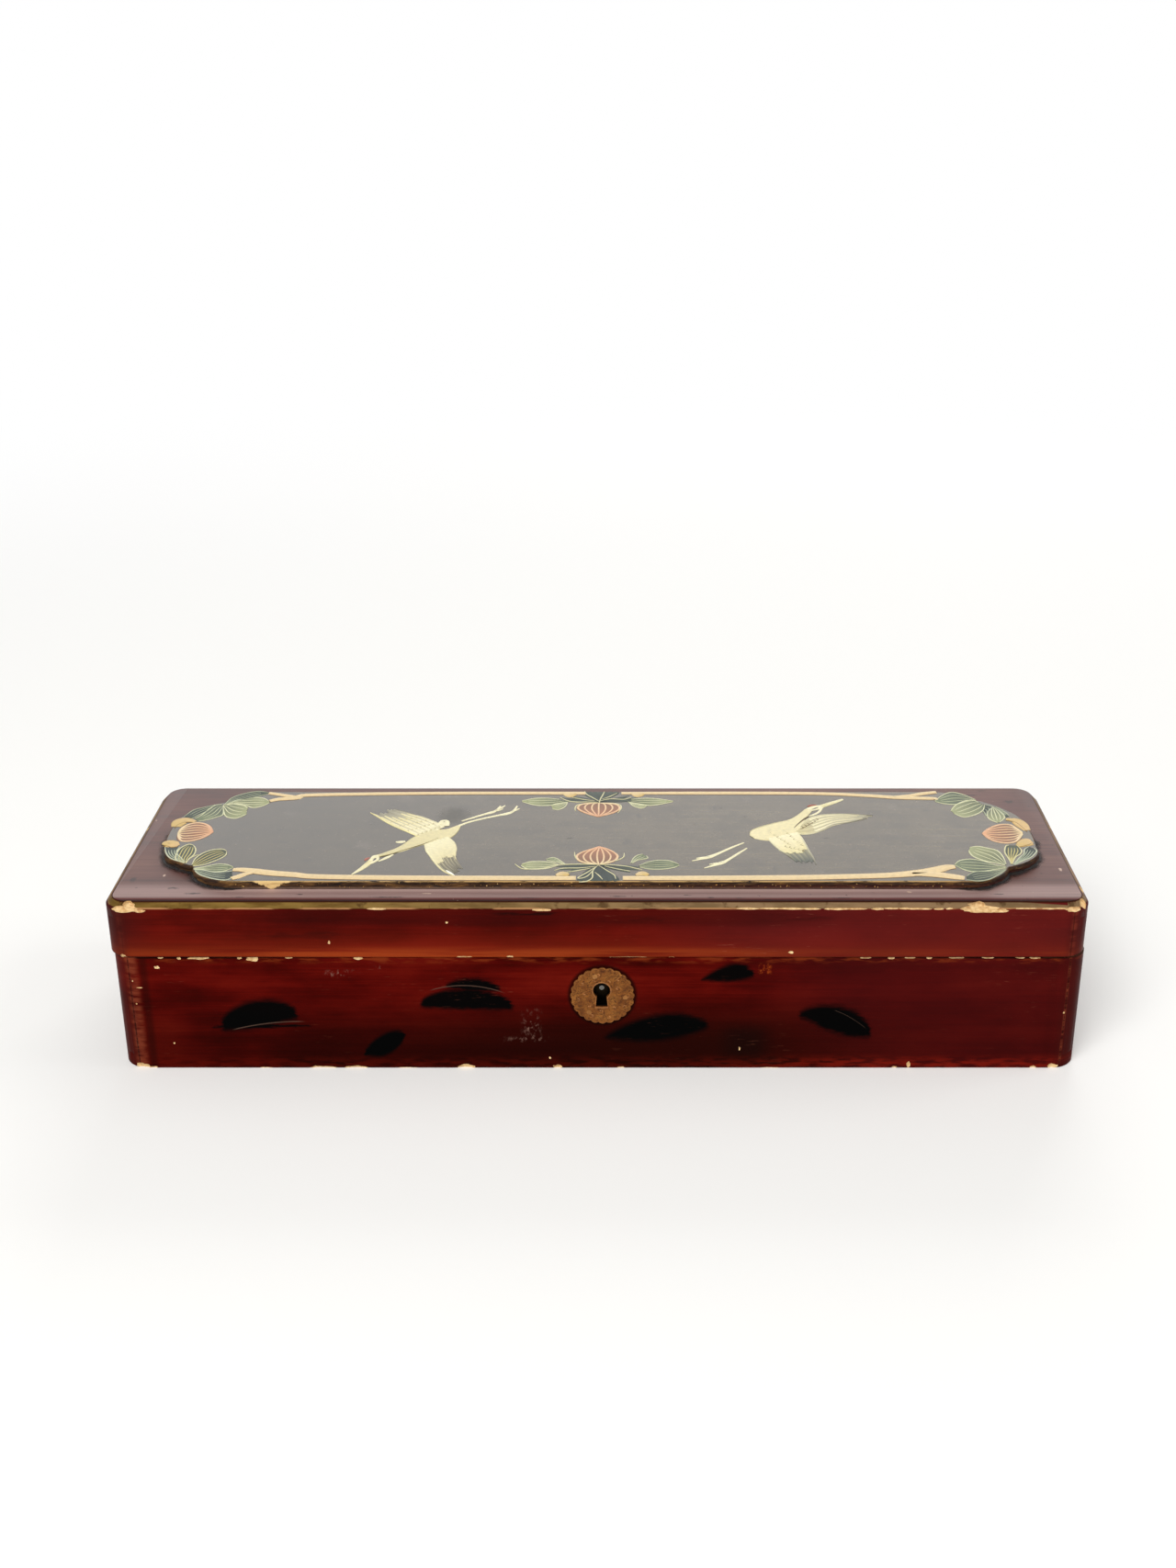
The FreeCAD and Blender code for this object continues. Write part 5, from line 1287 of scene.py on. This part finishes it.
for spots in (
    [(-43.8, 9.7, 0.35), (-40.3, 12.4, 0.5), (-36.7, 15.1, 0.6), (-34.7, 16.4, 0.8), (-33.3, 18, 0.5),
     (-32.2, 21.3, 0.3)],
    [(-44.9, 5.7, 0.6), (-41.5, 8.9, 0.5), (-36.5, 12, 0.5), (-32.2, 14.2, 0.6), (-29.6, 15.5, 0.8),
     (-27.8, 17.4, 0.5), (-26.8, 21.3, 0.3)],
    [(-33.5, 17.7, 0.3), (-31.9, 19.9, 0.45), (-30.7, 21.7, 0.2)],
    [(-33.1, 17.4, 0.3), (-32, 18.3, 0.3), (-31.3, 19.1, 0.2)],
    [(-28.2, 16.9, 0.3), (-27, 18.2, 0.45), (-25.9, 19.3, 0.2)],
    [(-62.8, -14.6, 0.3), (-64.5, -16.8, 0.7), (-66.7, -19.4, 0.25)],
    [(-63, -5.8, 0.3), (-61.5, -5.7, 0.9), (-60.1, -5.3, 0.5)],
    [(-51, 6.7, 0.5), (-49.9, 8.7, 1.2), (-49.1, 9.2, 1.5), (-48.5, 6, 1.2)],
):
    left_crane.stroke(spots, FEATHER_LIGHT, None, 0.13)
left_crane.stroke([(-44.5, 6, 0.8), (-46.2, 2.7, 2.2), (-47.9, 0.8, 3.6), (-50.3, -0.9, 4.6), (-53, -2.9, 4.6),
                   (-55.7, -4.8, 3.6), (-58.3, -7.9, 2.4), (-60.9, -10.9, 1.8), (-63.5, -12.9, 1.3),
                   (-65.8, -14.6, 1), (-67.3, -15.6, 1)], BODY_TONE, BODY_SHADE, 0.17)
left_crane.line([(-50.1, -3.1), (-53.4, -6.5), (-56.7, -9.2), (-60.1, -11.7), (-63.4, -14.4), (-66.7, -16.3)],
                 (120, 110, 72), 0.22, 0.18)
left_crane.stroke([(-67.1, -15.6, 0.7), (-68.1, -16, 1), (-68.9, -17.4, 0.6),
                   (-69.2, -19.2, 0.8)], FEATHER_LIGHT, None, 0.18)
left_crane.stroke([(-67.2, -16.6, 0.5), (-67.2, -18.4, 0.5), (-68.1, -19.7, 0.6),
                   (-69.2, -20.8, 0.7)], FEATHER_LIGHT, None, 0.18)
left_crane.stroke([(-69, -19.2, 1), (-70.2, -22.3, 1), (-71.9, -25.6, 0.7),
                   (-73.6, -28.3, 0.25)], FEATHER, FEATHER_LIGHT, 0.17)
left_crane.line([(-70.9, -18.9), (-70.5, -17.6), (-69.7, -16.8)], CROWN, 0.6, 0.08)
painted("left_crane", left_crane)

right_crane = Painting()
far_fore = [(63, 5.4), (66.3, 11.2), (70.1, 14), (74.2, 14.9), (78.1, 15.1), (82.4, 14.7), (87.5, 14)]
far_hind = [(61.7, 1.3), (63.7, -0.1), (67.2, 0.6), (70.6, 3.4), (74.1, 7.1), (79, 8.7), (85.2, 11.7)]
near_fore = [(52.7, -3.2), (54.1, -7.6), (55.7, -11.6), (57.3, -14.2), (58.9, -17.6), (60.3, -21)]
near_hind = [(62.1, 1.3), (63.2, -3.2), (64, -8.1), (64.6, -12.5), (65.4, -16.8), (65.8, -21.4)]
right_crane.fan(far_fore, far_hind, 7, (206, 194, 146), (164, 158, 134), (188, 176, 130), 0.08, 1.5, 0.05,
                8, 0.96)
right_crane.fan(far_fore, far_hind, 5, FEATHER_LIGHT, (206, 196, 156), None, 0.12, 0.7, 0.08, 9, 0.86, 0.25)
right_crane.fan(near_fore, near_hind, 9, FEATHER, (84, 88, 82), (170, 160, 122), 0.07, 1.4, 0.05, 7, 0.95)
right_crane.fan(near_fore, near_hind, 7, (236, 226, 188), FEATHER, None, 0.13, 1.5, 0.08, 3, 0.62, 0.0, 0.7)
right_crane.line(far_hind, FEATHER_LIGHT, 0.3, 0.15, FADED)
right_crane.line(far_fore, FEATHER_LIGHT, 0.26, 0.15, FADED)
right_crane.line(near_fore[:5], FEATHER_LIGHT, 0.24, 0.15, FADED)
right_crane.line(near_hind, FEATHER_LIGHT, 0.34, 0.16, FADED)
for spots in (
    [(44.9, -6.3, 0.3), (40.8, -9.8, 0.5), (36.8, -13.7, 0.6), (33.9, -16.2, 0.9), (31, -17.8, 0.5),
     (28.4, -19.1, 0.2)],
    [(45.6, -10.2, 0.3), (42.5, -14.2, 0.5), (39.2, -18.5, 0.6), (37.2, -20.5, 0.9), (34.4, -22.4, 0.5),
     (31.9, -24, 0.2)],
    [(33.7, -16.3, 0.4), (31.8, -16.6, 0.4), (29.8, -17.3, 0.2)],
    [(37.5, -20.2, 0.4), (35.6, -20.7, 0.4), (33.5, -21.5, 0.2)],
    [(71.8, 19.9, 0.35), (70.4, 16.6, 0.5), (68.4, 14.5, 0.45), (66.5, 13.2, 0.2)],
):
    right_crane.stroke(spots, FEATHER_LIGHT, None, 0.13)
right_crane.stroke([(47.8, -2.2, 1.4), (49.8, -1, 4.4), (53, 0.8, 5.4), (56.6, 3.1, 5.4), (60, 6.1, 4.6),
                    (62.4, 9.3, 2.8), (64.3, 12.7, 1.8), (66.2, 16.1, 1.5),
                    (67.4, 18.5, 1.3)], (226, 214, 168), BODY_TONE, 0.17)
right_crane.line([(61.4, 4.3), (62.8, 7.1), (65.1, 11), (66.9, 13.4)], (92, 76, 48), 0.4, 0.18)
right_crane.stroke([(67.2, 18.5, 0.9), (68.3, 19.9, 0.9), (70, 21, 0.7),
                    (71.7, 21.2, 0.8)], FEATHER_LIGHT, None, 0.19)
right_crane.stroke([(66.9, 17.4, 0.6), (68.5, 18, 0.4), (70.2, 18.9, 0.5),
                    (71.8, 20.5, 0.8)], FEATHER_LIGHT, None, 0.18)
right_crane.stroke([(71.5, 20.9, 1.1), (74.6, 23.2, 1), (77.3, 25.1, 0.8),
                    (79.2, 26.5, 0.5)], FEATHER, FEATHER_LIGHT, 0.18)
right_crane.line([(67.2, 20.9), (68.5, 21.8), (70.2, 22)], CROWN, 0.5, 0.2)
right_crane.ticks((64.2, 4.6), (69.4, 10.6), 6, (118, 104, 70), 2.0, 0.3, 0.8)
right_crane.ticks((53.8, 0.6), (58.6, -7.2), 6, FEATHER_SHADE, 1.6, 0.2, -0.8)
right_crane.ticks((58.0, 2.4), (62.6, -8.0), 6, FEATHER_SHADE, 1.5, 0.2, -0.8)
right_crane.ticks((57.6, -9.0), (62.8, -12.0), 5, (150, 136, 92), 1.5, 0.2, -0.6)
painted("right_crane", right_crane)


# --- Keyhole plate ---
# A round plate of thin gilt copper with a scalloped rim, struck with scrolls and worn on its high spots,
# pinned on over the keyhole. The keyhole has a raised lip.
SCALLOPS = 24
SCALLOP_DEPTH = 0.55
PLATE_BACK_Y, PLATE_FACE_Y = -43.0, -43.4
LIP_WIDTH, LIP_HEIGHT = 0.75, 0.22
KEYHOLE_MID_X, KEYHOLE_HEAD_Z, KEYHOLE_HEAD_R = 1.1, 27.3, 2.45
KEYHOLE_NECK, KEYHOLE_FOOT, KEYHOLE_FOOT_Z = 1.4, 1.75, 21.9
KEYHOLE_NECK_Z = 24.9
STAR_Z = 25.6
SPOKES, HOOPS = 360, 30


def keyhole_reach(angle):
    """How far the keyhole's edge is from its inner centre in that direction."""
    dx, dz = math.cos(angle), math.sin(angle)
    low, high = 0.0, 6.0
    for _ in range(30):
        r = (low + high) / 2
        px, pz = r * dx, STAR_Z + r * dz
        down = min(1.0, max(0.0, (KEYHOLE_NECK_Z - pz) / (KEYHOLE_NECK_Z - KEYHOLE_FOOT_Z)))
        half = KEYHOLE_NECK + (KEYHOLE_FOOT - KEYHOLE_NECK) * down
        inside = math.hypot(px, pz - KEYHOLE_HEAD_Z) < KEYHOLE_HEAD_R or \
            (abs(px) < half and KEYHOLE_FOOT_Z < pz < KEYHOLE_HEAD_Z)
        low, high = (r, high) if inside else (low, r)
    return low


def plate_reach(angle):
    """How far the plate's scalloped edge is from the keyhole's inner centre in that direction."""
    dx, dz = math.cos(angle), math.sin(angle)
    ox, oz = KEYHOLE_MID_X - PLATE_MID[0], STAR_Z - PLATE_MID[1]
    r = PLATE_R
    for _ in range(4):
        around = math.atan2(oz + r * dz, ox + r * dx)
        rim = PLATE_R - SCALLOP_DEPTH * (1 - abs(math.cos(around * SCALLOPS / 2)) ** 0.8)
        b = ox * dx + oz * dz
        r = -b + math.sqrt(b * b - (ox * ox + oz * oz) + rim * rim)
    return r


scrolls = []
draw = random.Random(11)
for k in range(15):
    turn = k / 15 * math.tau + draw.uniform(-0.1, 0.1)
    ring = 5.2 if k % 2 else 7.4
    scrolls.append((PLATE_MID[0] + ring * math.cos(turn), PLATE_MID[1] + ring * math.sin(turn),
                    draw.choice((-1, 1)), draw.uniform(0, 6.3)))


def struck(px, pz):
    """The height of the struck scrolls at a spot on the plate, 0 to 1."""
    height = 0.0
    for sx, sz, hand, phase in scrolls:
        dx, dz = px - sx, pz - sz
        far = math.hypot(dx, dz)
        if far < 2.6:
            curl = 0.5 + 0.5 * math.cos(far * 5.4 - hand * math.atan2(dz, dx) + phase)
            height += curl * math.exp(-(far / 1.3) ** 2)
    return min(height, 1.0)


points, faces, marks = [], [], []
for hoop in range(HOOPS):
    t = hoop / (HOOPS - 1)
    for spoke in range(SPOKES):
        angle = spoke / SPOKES * math.tau
        near, far = keyhole_reach(angle), plate_reach(angle)
        r = near + (far - near) * t
        px, pz = KEYHOLE_MID_X + r * math.cos(angle), STAR_Z + r * math.sin(angle)
        lip = max(0.0, 1 - abs((r - near) - LIP_WIDTH * 0.5) / (LIP_WIDTH * 0.5)) ** 0.6
        rim = max(0.0, 1 - (far - r) / 0.75) if far - r > 0.12 else 0.55
        relief = struck(px, pz) * min(1.0, max(0.0, (r - near - LIP_WIDTH) / 0.5))
        relief = relief * min(1.0, max(0.0, (far - r - 0.7) / 0.4))
        dent = 0.05 * noise.noise(Vector((px * 0.6, pz * 0.6, 2.0)))
        edge_drop = 0.10 if hoop in (0, HOOPS - 1) else 0.0
        py = PLATE_FACE_Y - LIP_HEIGHT * lip - 0.12 * relief - 0.10 * rim + dent * 0.4 + edge_drop
        points.append((px, py, pz))
        marks.append(max(relief, lip, rim))
for hoop in range(HOOPS - 1):
    for spoke in range(SPOKES):
        nxt = (spoke + 1) % SPOKES
        a, b = hoop * SPOKES, (hoop + 1) * SPOKES
        faces.append((a + spoke, b + spoke, b + nxt, a + nxt))
front = len(points)
for hoop in (0, HOOPS - 1):
    for spoke in range(SPOKES):
        px, _, pz = points[hoop * SPOKES + spoke]
        points.append((px, PLATE_BACK_Y, pz))
        marks.append(0.3)
for spoke in range(SPOKES):
    nxt = (spoke + 1) % SPOKES
    rim_a = (HOOPS - 1) * SPOKES
    faces.append((spoke, nxt, front + nxt, front + spoke))
    faces.append((rim_a + nxt, rim_a + spoke, front + SPOKES + spoke, front + SPOKES + nxt))
    faces.append((front + spoke, front + nxt, front + SPOKES + nxt, front + SPOKES + spoke))
plate = put("keyhole_plate", mesh_of("keyhole_plate", [(points, faces)]))
marked(plate.data, "high_spot", marks)
outward(plate)
plate.data.shade_smooth()
plate.data.set_sharp_from_angle(angle=math.radians(50))

gilt = Finish("worn_gilt_copper", Roughness=0.45, Metallic=0.75)
place = gilt.places()[0]
spots = gilt.node("ShaderNodeAttribute", {"attribute_name": "high_spot"}, out="Fac")
patina = gilt.grain(place, 0.35, 5.0, 0.65)
fleck = gilt.grain(place, 1.6, 4.0, 0.7)
gilt.colour = gilt.ramp(
    patina * 0.6 + fleck * 0.4, (0.36, (112, 60, 22)), (0.50, (150, 92, 38)), (0.64, (180, 120, 56)))
gilt.lay((1 - spots) * fleck.rise(0.40, 0.60) * 0.5, (84, 42, 16))
engraved = abs(gilt.grain(place, 0.55, 2.0, 0.5, 1.6) - 0.5).rise(0.035, 0.008)
gilt.lay(engraved * 0.75, (66, 32, 12))
gilt.lay(spots.rise(0.55, 1.0) * 0.55, (214, 150, 98))
gilt.lay(patina.rise(0.62, 0.74) * 0.4, (120, 88, 40))
gilt.paint(Base_Color=gilt.colour, Roughness=patina * 0.35 + 0.30)
gilt.bump(fleck - engraved, 0.06)
plate.data.materials.append(gilt.material)
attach(plate, "base")
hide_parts("escutcheon")


# --- Brass, steel and bamboo ---
# The hinges, lock and screws are yellow brass gone brown; the lock's bolt, spring and
# key pin are steel; the pegs in the joints are bamboo.
def metal_finish(name, dark, mid, bright, metallic=0.9, rough=0.32, keyhole_shade=0.95):
    made = Finish(name, Metallic=metallic)
    place, x, y, z = made.places()
    stain = made.grain(place, 0.30, 5.0, 0.6)
    rubbed = made.streaks(place, (0.25, 1.6, 1.6), 4.0, 0.6)
    tone = made.ramp(stain * 0.6 + rubbed * 0.4, (0.36, dark), (0.50, mid), (0.66, bright))
    spots = made.grain(place, 1.3, 3.0, 0.6).rise(0.66, 0.74)
    from_keyhole = ((x - KEYHOLE_MID_X) ** 2.0 + (z - STAR_Z) ** 2.0) ** 0.5
    # Painted shade: the lock seen through the keyhole is darkened nearly to black
    tone = made.mix(from_keyhole.rise(6.5, 4.5) * y.rise(-30.0, -34.0) * keyhole_shade, tone, (7, 6, 5))
    made.paint(Base_Color=made.mix(spots * 0.6, tone, tuple(c * 0.4 for c in dark)),
               Roughness=stain * 0.3 + rough - 0.1)
    made.bump(rubbed + stain, 0.02)
    return made


brass = metal_finish("aged_brass", (96, 68, 30), (150, 112, 56), (190, 152, 88))
screw_brass = metal_finish("screw_brass", (110, 82, 38), (164, 126, 66), (202, 166, 100), rough=0.28)
dark_steel = metal_finish("dark_steel", (52, 50, 48), (96, 94, 90), (142, 140, 134), rough=0.34, keyhole_shade=0.0)
pin_copper = metal_finish("pin_copper", (120, 74, 36), (166, 112, 60), (206, 156, 96), rough=0.34)
bamboo = Finish("bamboo_pegs", Roughness=0.6)
place = bamboo.places()[0]
fibre = bamboo.grain(place, 0.8, 4.0)
bamboo.paint(Base_Color=bamboo.ramp(fibre, (0.38, (176, 140, 84)), (0.62, (214, 186, 128))),
             Roughness=fibre * 0.3 + 0.45)
bamboo.bump(fibre, 0.03)

for names, finish in (
    (("left_hinge_base_leaf", "right_hinge_base_leaf", "left_hinge_lid_leaf", "right_hinge_lid_leaf",
      "left_hinge_pin", "right_hinge_pin", "lock_plate", "lock_cap", "lid_link_plate"), brass),
    (("base_leaf_screws", "lid_leaf_screws", "lock_screws", "link_plate_screws", "lock_cap_rivets"),
     screw_brass),
    (("lock_bolt", "lock_spring", "lock_key_pin", "bolt_guide_pins"), dark_steel),
    (("escutcheon_pins",), pin_copper),
    (("base_corner_pegs", "bottom_board_pegs", "lid_corner_pegs", "lid_top_pegs"), bamboo),
):
    for name in names:
        for k in range(max(1, len(nodes[name].data.materials))):
            if len(nodes[name].data.materials):
                nodes[name].data.materials[k] = finish.material
            else:
                nodes[name].data.materials.append(finish.material)
